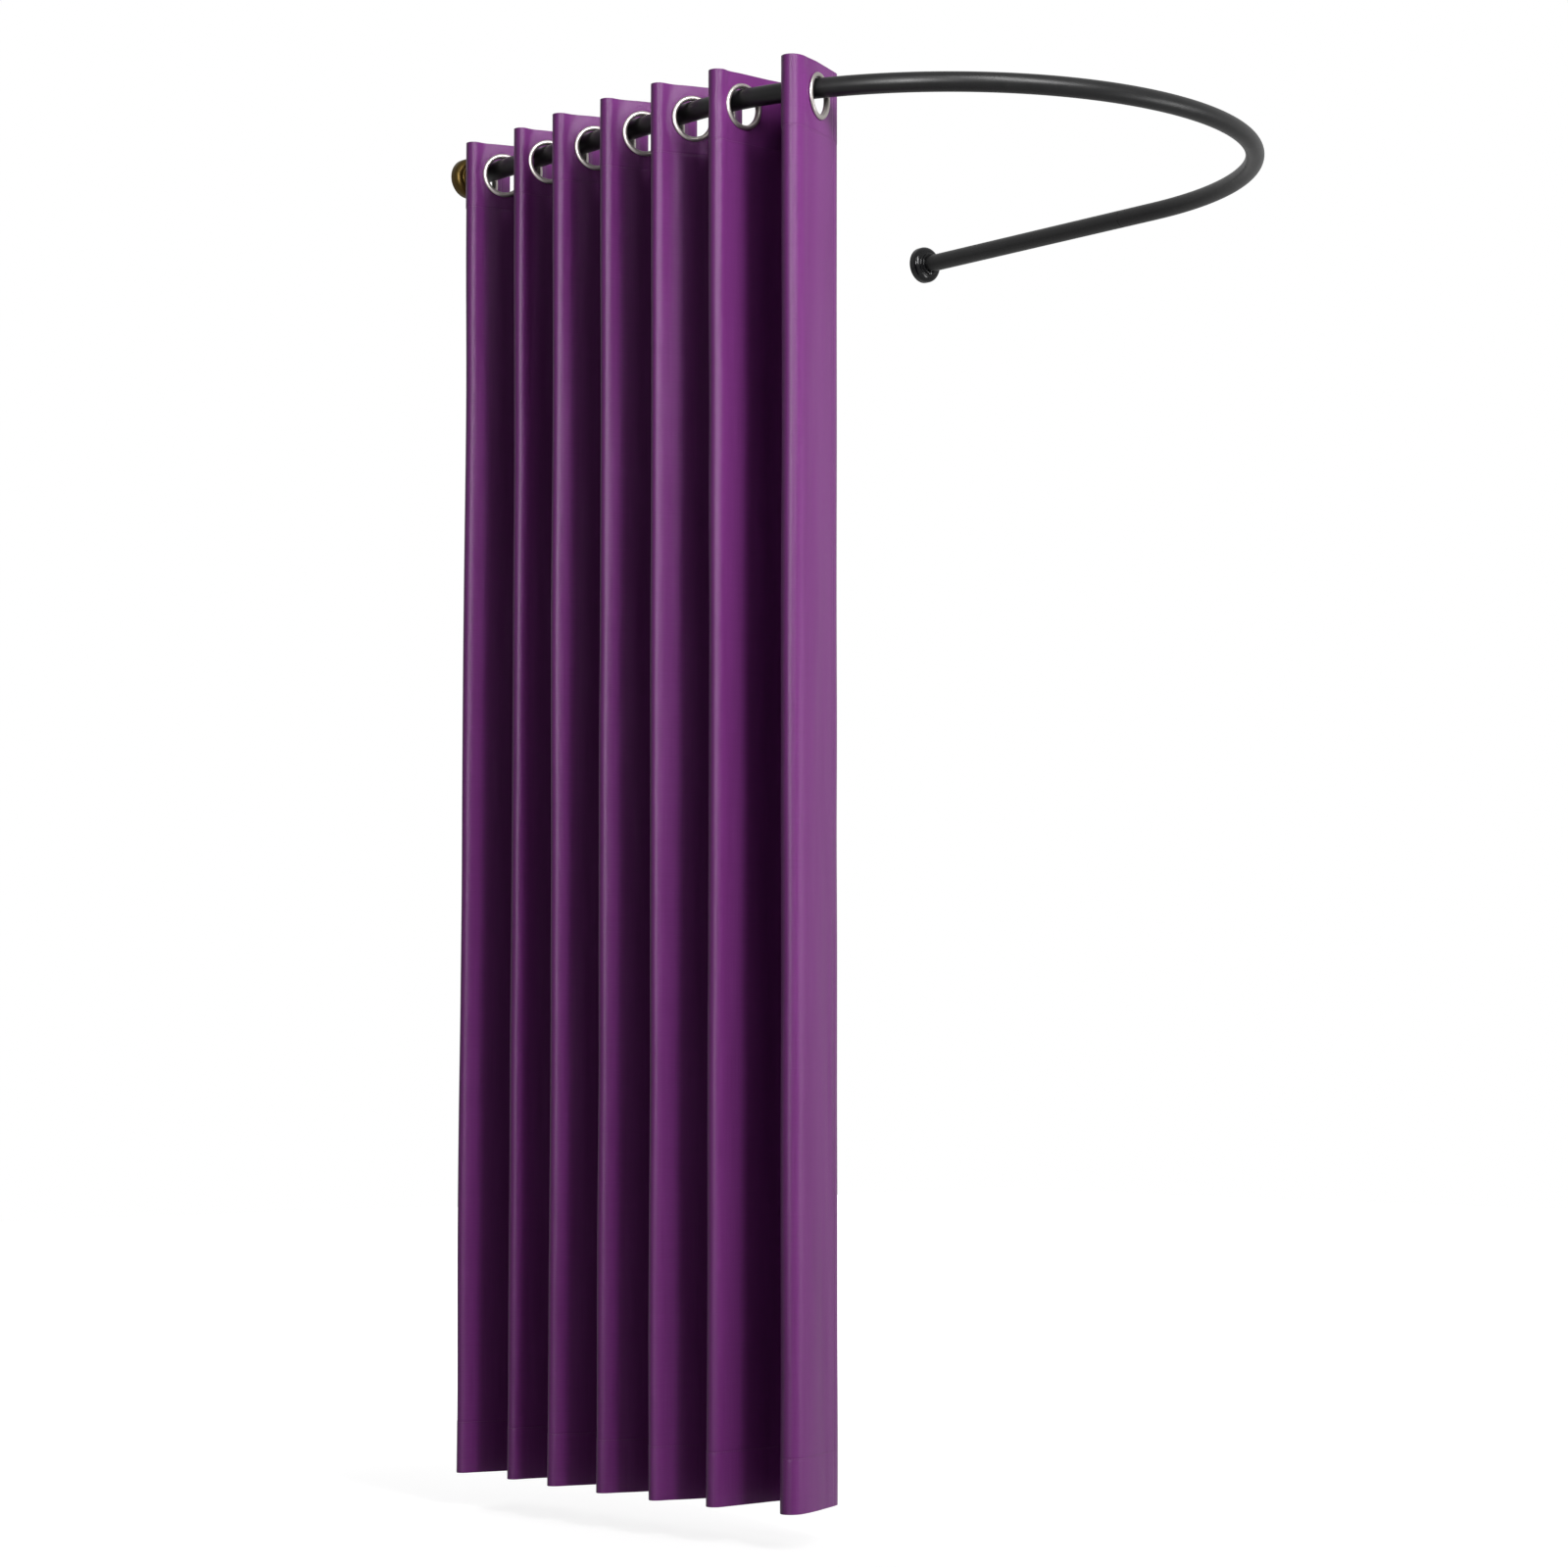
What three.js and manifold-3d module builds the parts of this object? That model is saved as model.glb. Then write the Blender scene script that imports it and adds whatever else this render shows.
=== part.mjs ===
// Wall-held U-shaped rail with an eyelet curtain gathered on its left arm. Millimetres, +Z up.
// X runs along the wall, the wall is the plane Y = 0 and the rail stands out towards -Y.
// The origin is the middle of the left wall disc's back face, level with the rail's axis.
import * as THREE from 'three';
import { mergeVertices } from 'three/addons/utils/BufferGeometryUtils.js';
import Module from 'manifold-3d';

const wasm = await Module();
wasm.setup();

// Shares and counts
const halfShare = 0.5;
const quarterTurn = Math.PI / 2;
const wholeTurn = quarterTurn * 4;
const innerWrapShare = 1 / 6;
const outerShortShare = 1 / 72;
const curlShare = 5 / 36;
const armLeafShares = [0.185, 0.243];
const bendLeafShares = [0.295, 0.365, 0.41, 0.5];
const tubeSides = 16;
const bendSteps = 24;
const roundSides = 24;
const eyeletSides = 16;
const leafSteps = 8;
const innerLeafSteps = 5;
const curlSteps = 4;
const panelCount = 14;
const armPanelCount = 10;
const discScrewShares = [-1, 1];

// Rail
const railOuter = 14;
const railBore = 12.5;
const armLength = 540;
const bendRadius = 475;
const bendStraight = 70;
const seam = 0.3;
const sleeveOuter = 12.2;
const sleeveBore = 10.7;
const sleeveHalf = 45;
const jointScrewInset = 25;
const grubRadius = 2;
const grubHole = 2.3;
const grubDeep = 10.9;
const grubTop = 13.8;

// Wall fittings
const cupRadius = 30;
const cupWall = 2.5;
const cupClear = 1.5;
const discRadius = cupRadius - cupWall - cupClear;
const discThick = 5;
const spigotEnd = 22;
const wallScrewShank = 2;
const wallScrewHead = 3.8;
const screwRimGap = 2.7;
const wallScrewReach = discRadius - wallScrewHead - screwRimGap;
const headDeep = 2.2;
const cupSide = 8;
const cupShoulder = 15;
const cupDeep = 18;
const collarRadius = 18;
const collarEnd = 22;
const collarBore = 14.3;
const cupGrubAt = 20;
const cupGrubTop = 17.8;
const cupGrubTip = 14.4;

// Curtain
const clothThick = 2.2;
const clothTop = 36;
const clothDrop = 1980;
const firstRingAt = 45.3;
const ringPitch = 56.3;
const outerReach = 39.3;
const innerReach = 52.9;
const bendHalfWidths = [51.7, 38, 68.7, 39.1];
const trailMargin = 70;
const leadMargin = 60;
const curlRadius = 14;

// Eyelets
const eyeletBore = 26;
const eyeletRim = 33;
const eyeletDrop = 11;
const barrelOuter = 27.5;
const barrelBack = 3.6;
const rimSeat = 1.4;
const rimShoulder = 3.4;
const rimCrown = 4.7;
const rimLip = 3.1;
const crownRadius = 29.5;
const backInner = 27.8;
const backCrown = 3.9;
const backShoulder = 2.8;
const clothHole = 28.6;

const finishes = {
  curtain_fabric: { color: 0x7a3a80, roughness: 0.6, metalness: 0 },
  eyelet_nickel: { color: 0xcdbfb8, roughness: 0.35, metalness: 1 },
  rail_black: { color: 0x26272a, roughness: 0.45, metalness: 0.3 },
  cup_black: { color: 0x101012, roughness: 0.2, metalness: 0.2 },
  cup_bronze: { color: 0x5b4412, roughness: 0.35, metalness: 0.8 },
  fixing_steel: { color: 0x8d9094, roughness: 0.4, metalness: 1 },
};

const model = new THREE.Group();
model.name = 'fitting_room_rail_and_curtain';

function addPiece(name, finish, geometry) {
  const material = new THREE.MeshStandardMaterial(finishes[finish]);
  material.name = finish;
  const mesh = new THREE.Mesh(geometry, material);
  mesh.name = name;
  model.add(mesh);
}

function toSolid(geometry) {
  const bare = new THREE.BufferGeometry();
  bare.setAttribute('position', geometry.getAttribute('position').clone());
  if (geometry.index) bare.setIndex(geometry.index.clone());
  const merged = mergeVertices(bare);
  const mesh = new wasm.Mesh({
    numProp: 3,
    vertProperties: new Float32Array(merged.getAttribute('position').array),
    triVerts: new Uint32Array(merged.index.array),
  });
  return new wasm.Manifold(mesh);
}

function toGeometry(solid) {
  const mesh = solid.getMesh();
  const geometry = new THREE.BufferGeometry();
  geometry.setAttribute('position', new THREE.BufferAttribute(mesh.vertProperties, 3));
  geometry.setIndex(new THREE.BufferAttribute(mesh.triVerts, 1));
  geometry.computeVertexNormals();
  return geometry;
}

function cutAway(geometry, cutters) {
  return toGeometry(cutters.reduce((solid, c) => solid.subtract(toSolid(c)), toSolid(geometry)));
}

// A rod whose axis runs from one point to another.
function rodBetween(from, to, radius, sides) {
  const span = new THREE.Vector3().subVectors(to, from);
  const rod = new THREE.CylinderGeometry(radius, radius, span.length(), sides);
  rod.applyQuaternion(new THREE.Quaternion().setFromUnitVectors(
    new THREE.Vector3(0, 1, 0), span.clone().normalize()));
  const middle = new THREE.Vector3().addVectors(from, to).multiplyScalar(halfShare);
  return rod.translate(middle.x, middle.y, middle.z);
}

// A turned piece: profile of [radius, distance out of the wall], its axis at x on the wall.
function turnedFromWall(profile, x, sides) {
  const points = profile.map(([r, out]) => new THREE.Vector2(r, -out));
  const closed = profile[0][0] > 0 ? [...points, points[0].clone()] : points;
  return new THREE.LatheGeometry(closed.reverse(), sides).translate(x, 0, 0);
}

// Points of the rail's axis, each with the direction in plan that is square to it.
function straightStations(x, from, to) {
  return [from, to].map((y) => ({ x, y, across: [1, 0] }));
}

function bendStations() {
  const centre = [bendRadius, -armLength];
  const stations = [{ x: 0, y: bendStraight - armLength, across: [-1, 0] }];
  for (let i = 0; i <= bendSteps; i += 1) {
    const angle = Math.PI + (Math.PI * i) / bendSteps;
    const across = [Math.cos(angle), Math.sin(angle)];
    const x = centre[0] + bendRadius * across[0];
    const y = centre[1] + bendRadius * across[1];
    stations.push({ x, y, across });
  }
  stations.push({ x: bendRadius + bendRadius, y: bendStraight - armLength, across: [1, 0] });
  return stations;
}

// A round tube through the stations, with flat ends.
function tubeThrough(stations, outer, bore) {
  const positions = [];
  const faces = [];
  const ringOf = (station, radius) => {
    for (let i = 0; i < tubeSides; i += 1) {
      const turn = (wholeTurn * i) / tubeSides;
      const side = radius * Math.cos(turn);
      const rise = radius * Math.sin(turn);
      positions.push(station.x + side * station.across[0], station.y + side * station.across[1], rise);
    }
  };
  stations.forEach((s) => ringOf(s, outer));
  stations.forEach((s) => ringOf(s, bore));
  const band = (first, second) => {
    for (let i = 0; i < tubeSides; i += 1) {
      const j = (i + 1) % tubeSides;
      faces.push(first + i, second + i, second + j, first + i, second + j, first + j);
    }
  };
  const boreStart = stations.length * tubeSides;
  for (let k = 0; k + 1 < stations.length; k += 1) {
    band(k * tubeSides, (k + 1) * tubeSides);
    band(boreStart + (k + 1) * tubeSides, boreStart + k * tubeSides);
  }
  band(boreStart, 0);
  band(boreStart - tubeSides, boreStart + boreStart - tubeSides);
  const geometry = new THREE.BufferGeometry();
  geometry.setAttribute('position', new THREE.Float32BufferAttribute(positions, 3));
  geometry.setIndex(faces);
  return facingOut(geometry);
}

// Turns every face over if the body is inside out.
function facingOut(geometry) {
  const p = geometry.getAttribute('position');
  const index = geometry.index.array;
  const corner = (n) => new THREE.Vector3().fromBufferAttribute(p, index[n]);
  let volume = 0;
  for (let n = 0; n < index.length; n += 3) {
    volume += corner(n).dot(corner(n + 1).cross(corner(n + 2)));
  }
  if (volume < 0) index.reverse();
  geometry.computeVertexNormals();
  return geometry;
}

function downwardRod(x, y, from, to, radius) {
  const top = new THREE.Vector3(x, y, -from);
  return rodBetween(top, new THREE.Vector3(x, y, -to), radius, eyeletSides);
}

function addRail() {
  const seamAt = bendStraight - armLength;
  const screwAt = seamAt + jointScrewInset;
  const armStart = -discThick - seam;
  const sides = [['left', 0], ['right', bendRadius + bendRadius]];
  for (const [side, x] of sides) {
    const hole = downwardRod(x, screwAt, sleeveBore - seam, railOuter + seam, grubHole);
    const arm = tubeThrough(straightStations(x, armStart, seamAt + seam), railOuter, railBore);
    addPiece(`rail_${side}_arm`, 'rail_black', cutAway(arm, [hole]));
    const sleeve = tubeThrough(
      straightStations(x, seamAt + sleeveHalf, seamAt - sleeveHalf), sleeveOuter, sleeveBore);
    const threaded = downwardRod(x, screwAt, sleeveBore - grubHole, railOuter, grubHole);
    addPiece(`rail_sleeve_${side}`, 'fixing_steel', cutAway(sleeve, [threaded]));
    addPiece(`rail_screw_${side}`, 'fixing_steel', downwardRod(x, screwAt, grubDeep, grubTop, grubRadius));
  }
  addPiece('rail_bend', 'rail_black', tubeThrough(bendStations(), railOuter, railBore));
}

function addWallDisc(side, x) {
  const disc = turnedFromWall([
    [0, 0], [discRadius, 0], [discRadius, discThick], [sleeveOuter, discThick],
    [sleeveOuter, spigotEnd], [0, spigotEnd],
  ], x, roundSides);
  const holes = [];
  for (const share of discScrewShares) {
    const z = share * wallScrewReach;
    const sink = turnedFromWall([
      [0, -seam], [wallScrewShank + seam, -seam], [wallScrewShank + seam, discThick - headDeep - seam],
      [wallScrewHead + seam, discThick - seam], [wallScrewHead + seam, discThick + seam],
      [0, discThick + seam],
    ], x, eyeletSides).translate(0, 0, z);
    holes.push(sink);
    const screw = turnedFromWall([
      [0, seam], [wallScrewShank, seam], [wallScrewShank, discThick - headDeep],
      [wallScrewHead, discThick - seam], [0, discThick - seam],
    ], x, eyeletSides).translate(0, 0, z);
    addPiece(`wall_screw_${side}_${share > 0 ? 'upper' : 'lower'}`, 'fixing_steel', screw);
  }
  addPiece(`wall_disc_${side}`, 'fixing_steel', cutAway(disc, holes));
}

function addCup(side, x, finish) {
  const cavity = cupRadius - cupWall;
  const shoulder = (cupRadius + collarRadius) * halfShare;
  const cup = turnedFromWall([
    [cavity, 0], [cupRadius, 0], [cupRadius, cupSide], [cupRadius - cupWall, cupSide + cupWall + cupWall],
    [shoulder, cupShoulder + cupWall * halfShare], [collarRadius, cupDeep],
    [collarRadius, collarEnd], [collarBore, collarEnd], [collarBore, cupShoulder],
    [shoulder - cupWall, cupShoulder - cupWall * halfShare], [cavity, cupSide],
  ], x, roundSides);
  const hole = downwardRod(x, -cupGrubAt, railBore, cupRadius, grubHole);
  addPiece(`wall_cup_${side}`, finish, cutAway(cup, [hole]));
  const screw = downwardRod(x, -cupGrubAt, cupGrubTip, cupGrubTop, grubRadius);
  addPiece(`cup_screw_${side}`, 'fixing_steel', screw);
}

const turned = ([x, y], angle) => [
  x * Math.cos(angle) - y * Math.sin(angle), x * Math.sin(angle) + y * Math.cos(angle)];
const moved = ([x, y], [dx, dy], by) => [x + dx * by, y + dy * by];
const between = (a, b) => [b[0] - a[0], b[1] - a[1]];
const length = ([x, y]) => Math.hypot(x, y);

const foldLean = Math.atan2(outerReach + innerReach, ringPitch);
const armHalfWidths = [outerReach, innerReach].map((reach) => reach / Math.sin(foldLean));

// How far a fold line stands from the eyelets on both sides of it.
function halfWidthAt(fold) {
  const past = fold + 1 - armPanelCount;
  return past < 0 ? armHalfWidths[fold % 2] : bendHalfWidths[past];
}

// The point of the rail's axis past a fold line and half a panel away from it.
function nextRing(foldLine, halfWidth) {
  const straightY = foldLine[1] - Math.sqrt(Math.max(halfWidth ** 2 - foldLine[0] ** 2, 0));
  if (straightY >= -armLength) return [0, straightY];
  const toCentre = between(foldLine, [bendRadius, -armLength]);
  const d = length(toCentre);
  const unit = [toCentre[0] / d, toCentre[1] / d];
  const near = (d ** 2 + halfWidth ** 2 - bendRadius ** 2) / (d + d);
  const off = Math.sqrt(halfWidth ** 2 - near ** 2);
  const foot = moved(foldLine, unit, near);
  const options = [quarterTurn, -quarterTurn].map((a) => moved(foot, turned(unit, a), off));
  return options[0][1] < options[1][1] ? options[0] : options[1];
}

// Where each eyelet sits on the rail, and how its panel of cloth stands there.
function layOutPanels() {
  const panels = [];
  let ring = [0, -firstRingAt];
  let along = turned([0, -1], -foldLean);
  for (let i = 0; i < panelCount; i += 1) {
    const side = i % 2 === 0 ? -1 : 1;
    const leafShare = i < armPanelCount ? armLeafShares[i % 2] : bendLeafShares[i - armPanelCount];
    const heading = turned(along, side * Math.asin(leafShare));
    panels.push({ ring, along, side, leafShare, heading });
    if (i + 1 === panelCount) break;
    const halfWidth = halfWidthAt(i);
    const foldLine = moved(ring, along, halfWidth);
    ring = nextRing(foldLine, halfWidth);
    along = between(foldLine, ring).map((v) => v / halfWidth);
  }
  return panels;
}

// How far the cloth turns round the fold line between two neighbouring panels.
function turnBetween(a, b) {
  const cross = a.heading[0] * b.heading[1] - a.heading[1] * b.heading[0];
  const dot = a.heading[0] * b.heading[0] + a.heading[1] * b.heading[1];
  const turn = -a.side * Math.atan2(cross, dot);
  return turn < 0 ? turn + wholeTurn : turn;
}

// Stations of a leaf that leaves `from` along `heading` and turns by `turn` at `radius`.
function leafStations(from, heading, radius, turn, steps) {
  const stations = [];
  const centre = moved(from, turned(heading, Math.sign(turn) * quarterTurn), radius);
  for (let i = 1; i <= steps; i += 1) {
    const angle = (turn * i) / steps;
    const at = moved(centre, turned(between(centre, from), angle), 1);
    stations.push({ at, heading: turned(heading, angle) });
  }
  return stations;
}

// The middle line of a panel, from its end nearer the wall to the other.
function middleLine(panel, before, after) {
  const { ring, heading, leafShare, side } = panel;
  const back = turned(heading, Math.PI);
  const half = (other, direction, margin, curled) => {
    const leaf = other ? other.halfWidth * leafShare : 0;
    const reach = other ? Math.sqrt(other.halfWidth ** 2 - leaf ** 2) : margin;
    const edge = { at: moved(ring, direction, reach), heading: direction };
    if (!other) {
      return curled
        ? [edge, ...leafStations(edge.at, direction, curlRadius, side * curlShare * wholeTurn, curlSteps)]
        : [edge];
    }
    const turn = other.turn;
    const inner = leafShare < other.leafShare;
    const wrap = inner ? innerWrapShare * wholeTurn : turn - outerShortShare * wholeTurn;
    const steps = inner ? innerLeafSteps : leafSteps;
    return [edge, ...leafStations(edge.at, direction, leaf, -side * wrap, steps)];
  };
  const start = half(before, back, trailMargin, false)
    .map(({ at, heading: h }) => ({ at, heading: turned(h, Math.PI) }));
  return [...start.reverse(), ...half(after, heading, leadMargin, true)];
}

function panelShape(stations) {
  const edge = (offset) => stations.map(({ at, heading }) => moved(at, turned(heading, quarterTurn), offset));
  const near = edge(clothThick * halfShare);
  const far = edge(-clothThick * halfShare).reverse();
  return new THREE.Shape([...far, ...near].map(([x, y]) => new THREE.Vector2(x, y)));
}

function addPanel(number, panel, before, after) {
  const shape = panelShape(middleLine(panel, before, after));
  const sheet = new THREE.ExtrudeGeometry(shape, { depth: clothDrop, bevelEnabled: false, steps: 1 });
  sheet.translate(0, 0, clothTop - clothDrop);
  const [x, y] = panel.ring;
  const front = turned(panel.heading, -quarterTurn);
  const start = new THREE.Vector3(x - front[0] * barrelBack, y - front[1] * barrelBack, -eyeletDrop);
  const end = new THREE.Vector3(x + front[0] * barrelBack, y + front[1] * barrelBack, -eyeletDrop);
  const hole = eyeletPose(
    new THREE.CylinderGeometry(clothHole, clothHole, start.distanceTo(end), eyeletSides), panel);
  addPiece(`curtain_panel_${number}`, 'curtain_fabric', cutAway(facingOutShape(sheet), [hole]));
}

function facingOutShape(geometry) {
  return toGeometry(toSolid(geometry));
}

// Stands a piece turned about Y on the cloth at the panel's eyelet, with a flat of it uppermost.
function eyeletPose(geometry, panel) {
  const front = turned(panel.heading, -quarterTurn);
  const axis = new THREE.Vector3(front[0], front[1], 0);
  const up = new THREE.Vector3(0, 0, 1);
  const across = new THREE.Vector3().crossVectors(axis, up);
  const pose = new THREE.Matrix4().makeBasis(across, axis, up);
  pose.setPosition(panel.ring[0], panel.ring[1], -eyeletDrop);
  return geometry.rotateY((quarterTurn * 2) / eyeletSides).applyMatrix4(pose);
}

function addEyelet(number, panel) {
  const turnedRing = (profile) => {
    const points = [...profile, profile[0]].map(([r, out]) => new THREE.Vector2(r, out));
    return eyeletPose(new THREE.LatheGeometry(points, eyeletSides), panel);
  };
  addPiece(`eyelet_front_${number}`, 'eyelet_nickel', turnedRing([
    [eyeletBore, -barrelBack], [barrelOuter, -barrelBack], [barrelOuter, rimSeat], [eyeletRim, rimSeat],
    [eyeletRim, rimLip], [crownRadius, rimCrown], [eyeletBore, rimShoulder],
  ]));
  addPiece(`eyelet_back_${number}`, 'eyelet_nickel', turnedRing([
    [backInner, -backCrown], [eyeletRim, -backShoulder], [eyeletRim, -rimSeat], [backInner, -rimSeat],
  ]));
}

function addCurtain() {
  const panels = layOutPanels();
  panels.forEach((panel, i) => {
    const number = String(i + 1).padStart(2, '0');
    const previous = panels[i - 1];
    const next = panels[i + 1];
    const before = previous && {
      leafShare: previous.leafShare, halfWidth: halfWidthAt(i - 1), turn: turnBetween(previous, panel),
    };
    const after = next && {
      leafShare: next.leafShare, halfWidth: halfWidthAt(i), turn: turnBetween(panel, next),
    };
    addPanel(number, panel, before, after);
    addEyelet(number, panel);
  });
}

addRail();
addWallDisc('left', 0);
addWallDisc('right', bendRadius + bendRadius);
addCup('left', 0, 'cup_bronze');
addCup('right', bendRadius + bendRadius, 'cup_black');
addCurtain();

export default model;
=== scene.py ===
"""The looks of a wall-held fitting rail with a gathered eyelet curtain, in metres, with +Z up."""

import cmath
import logging
import math
from dataclasses import dataclass, field
from enum import Enum
from typing import Any, Iterable, Optional, Sequence

import bmesh
import bpy
import numpy as np
from mathutils import Matrix, Vector, noise


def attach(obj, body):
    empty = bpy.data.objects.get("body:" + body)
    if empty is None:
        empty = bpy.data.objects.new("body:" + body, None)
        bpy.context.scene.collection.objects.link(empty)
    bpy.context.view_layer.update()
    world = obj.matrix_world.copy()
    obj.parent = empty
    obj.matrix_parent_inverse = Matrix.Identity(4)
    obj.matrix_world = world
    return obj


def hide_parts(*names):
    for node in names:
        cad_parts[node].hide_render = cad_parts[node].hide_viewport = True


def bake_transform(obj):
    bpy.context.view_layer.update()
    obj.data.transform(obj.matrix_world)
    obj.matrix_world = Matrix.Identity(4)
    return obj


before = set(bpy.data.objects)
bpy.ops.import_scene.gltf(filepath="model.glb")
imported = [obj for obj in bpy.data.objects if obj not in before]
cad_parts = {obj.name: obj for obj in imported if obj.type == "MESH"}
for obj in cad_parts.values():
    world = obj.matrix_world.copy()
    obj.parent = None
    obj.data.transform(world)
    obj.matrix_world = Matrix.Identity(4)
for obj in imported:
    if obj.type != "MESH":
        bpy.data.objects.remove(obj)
log = logging.getLogger("fitting_room")

ROOT_BODY = "rail"
UP = Vector((0.0, 0.0, 1.0))
HALF_TURN = math.pi
WHOLE_TURN = 2 * math.pi
MM = 0.001
ARM_LENGTH = 0.54
BEND_RADIUS = 0.475
EYELET_DROP = 0.011
WELD = 1e-7
TOUCHING = 1e-6
WHITE = (1.0, 1.0, 1.0, 1.0)

Points = list[tuple[float, float]]
Loop = list[bmesh.types.BMEdge]
Colour = tuple[float, float, float, float]


class Slot(Enum):
    """The record's material slots."""

    CURTAIN = "curtain_fabric"
    NICKEL = "eyelet_nickel"
    RAIL = "rail_black"
    CUP_BLACK = "cup_black"
    CUP_BRONZE = "cup_bronze"
    STEEL = "fixing_steel"


class Side(Enum):
    """The two ends of the rail on the wall, and how far along the wall each one is."""

    LEFT = 0.0
    RIGHT = 2 * BEND_RADIUS

    @property
    def label(self) -> str:
        """The side's name as the part's nodes write it."""
        return self.name.lower()


# Materials


class ShaderGraph:
    """One material and the nodes that are added to it."""

    def __init__(self, name: str) -> None:
        """Starts a material with a bare Principled surface.

        Args:
            name: the material's name.
        """
        self.material = bpy.data.materials.new(name)
        self.material.use_nodes = True
        self.tree = self.material.node_tree
        self.tree.nodes.clear()
        self.surface = self.node("ShaderNodeBsdfPrincipled")
        self.node("ShaderNodeOutputMaterial", inputs={"Surface": self.surface.outputs["BSDF"]})

    def node(
        self,
        kind: str,
        settings: Optional[dict[str, Any]] = None,
        inputs: Optional[dict[Any, Any]] = None,
    ) -> bpy.types.Node:
        """Adds one node.

        Args:
            kind: the node's type.
            settings: its properties, set first.
            inputs: a number, colour, socket or Value for each of its inputs, by name or index.

        Returns:
            The new node.
        """
        made = self.tree.nodes.new(kind)
        for key, value in (settings or {}).items():
            setattr(made, key, value)
        for key, value in (inputs or {}).items():
            self.feed(made.inputs[key], value)
        return made

    def feed(self, socket: bpy.types.NodeSocket, value: Any) -> None:
        """Sets an input, or links a socket or Value to it.

        Args:
            socket: the input.
            value: a number, colour, socket or Value.
        """
        value = value.socket if isinstance(value, Value) else value
        if isinstance(value, bpy.types.NodeSocket):
            self.tree.links.new(value, socket)
        else:
            socket.default_value = value

    def dress(self, looks: dict[str, Any]) -> None:
        """Feeds the surface's inputs, by name."""
        for name, value in looks.items():
            self.feed(self.surface.inputs[name], value)

    def coordinates(self, uv_map: str = "") -> tuple["Value", "Value", "Value"]:
        """The place on the surface in metres.

        Args:
            uv_map: the piece's own map, or nothing for Object coordinates.

        Returns:
            Its three parts as Values.
        """
        if uv_map:
            place = self.node("ShaderNodeUVMap", {"uv_map": uv_map}).outputs["UV"]
        else:
            place = self.node("ShaderNodeTexCoord").outputs["Object"]
        parts = self.node("ShaderNodeSeparateXYZ", inputs={"Vector": place})
        return tuple(Value(self, parts.outputs[axis]) for axis in "XYZ")

    def vector(self, x: Any, y: Any, z: Any = 0.0) -> bpy.types.NodeSocket:
        """Joins three values into a vector."""
        return self.node("ShaderNodeCombineXYZ", inputs={"X": x, "Y": y, "Z": z}).outputs["Vector"]

    def noise(self, place: bpy.types.NodeSocket, scale: float = 1.0, detail: float = 2.0) -> "Value":
        """Soft noise from 0 to 1.

        Args:
            place: the coordinates it is read at.
            scale: how many blotches to a metre.
            detail: how many finer layers are added.

        Returns:
            The noise as a Value.
        """
        texture = self.node(
            "ShaderNodeTexNoise",
            {"noise_dimensions": "3D"},
            {"Vector": place, "Scale": scale, "Detail": detail},
        )
        return Value(self, texture.outputs["Fac"])

    def mixed(self, factor: Any, low: Any, high: Any) -> bpy.types.NodeSocket:
        """Mixes two colours.

        Args:
            factor: 0 for the first colour and 1 for the second.
            low: the first colour.
            high: the second colour.

        Returns:
            The colour between them.
        """
        mix = self.node(
            "ShaderNodeMix",
            {"data_type": "RGBA", "clamp_factor": True},
            {0: factor, 6: low, 7: high},
        )
        return mix.outputs[2]

    def bump(self, height: "Value", distance: float, strength: float = 1.0) -> None:
        """Feeds the surface's normal from a height.

        Args:
            height: the height, where 1 stands for distance.
            distance: how far a height of 1 stands proud, in metres.
            strength: the share of the relief that shows.
        """
        bump = self.node(
            "ShaderNodeBump",
            inputs={"Height": height, "Distance": distance, "Strength": strength},
        )
        self.dress({"Normal": bump.outputs["Normal"]})


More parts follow.
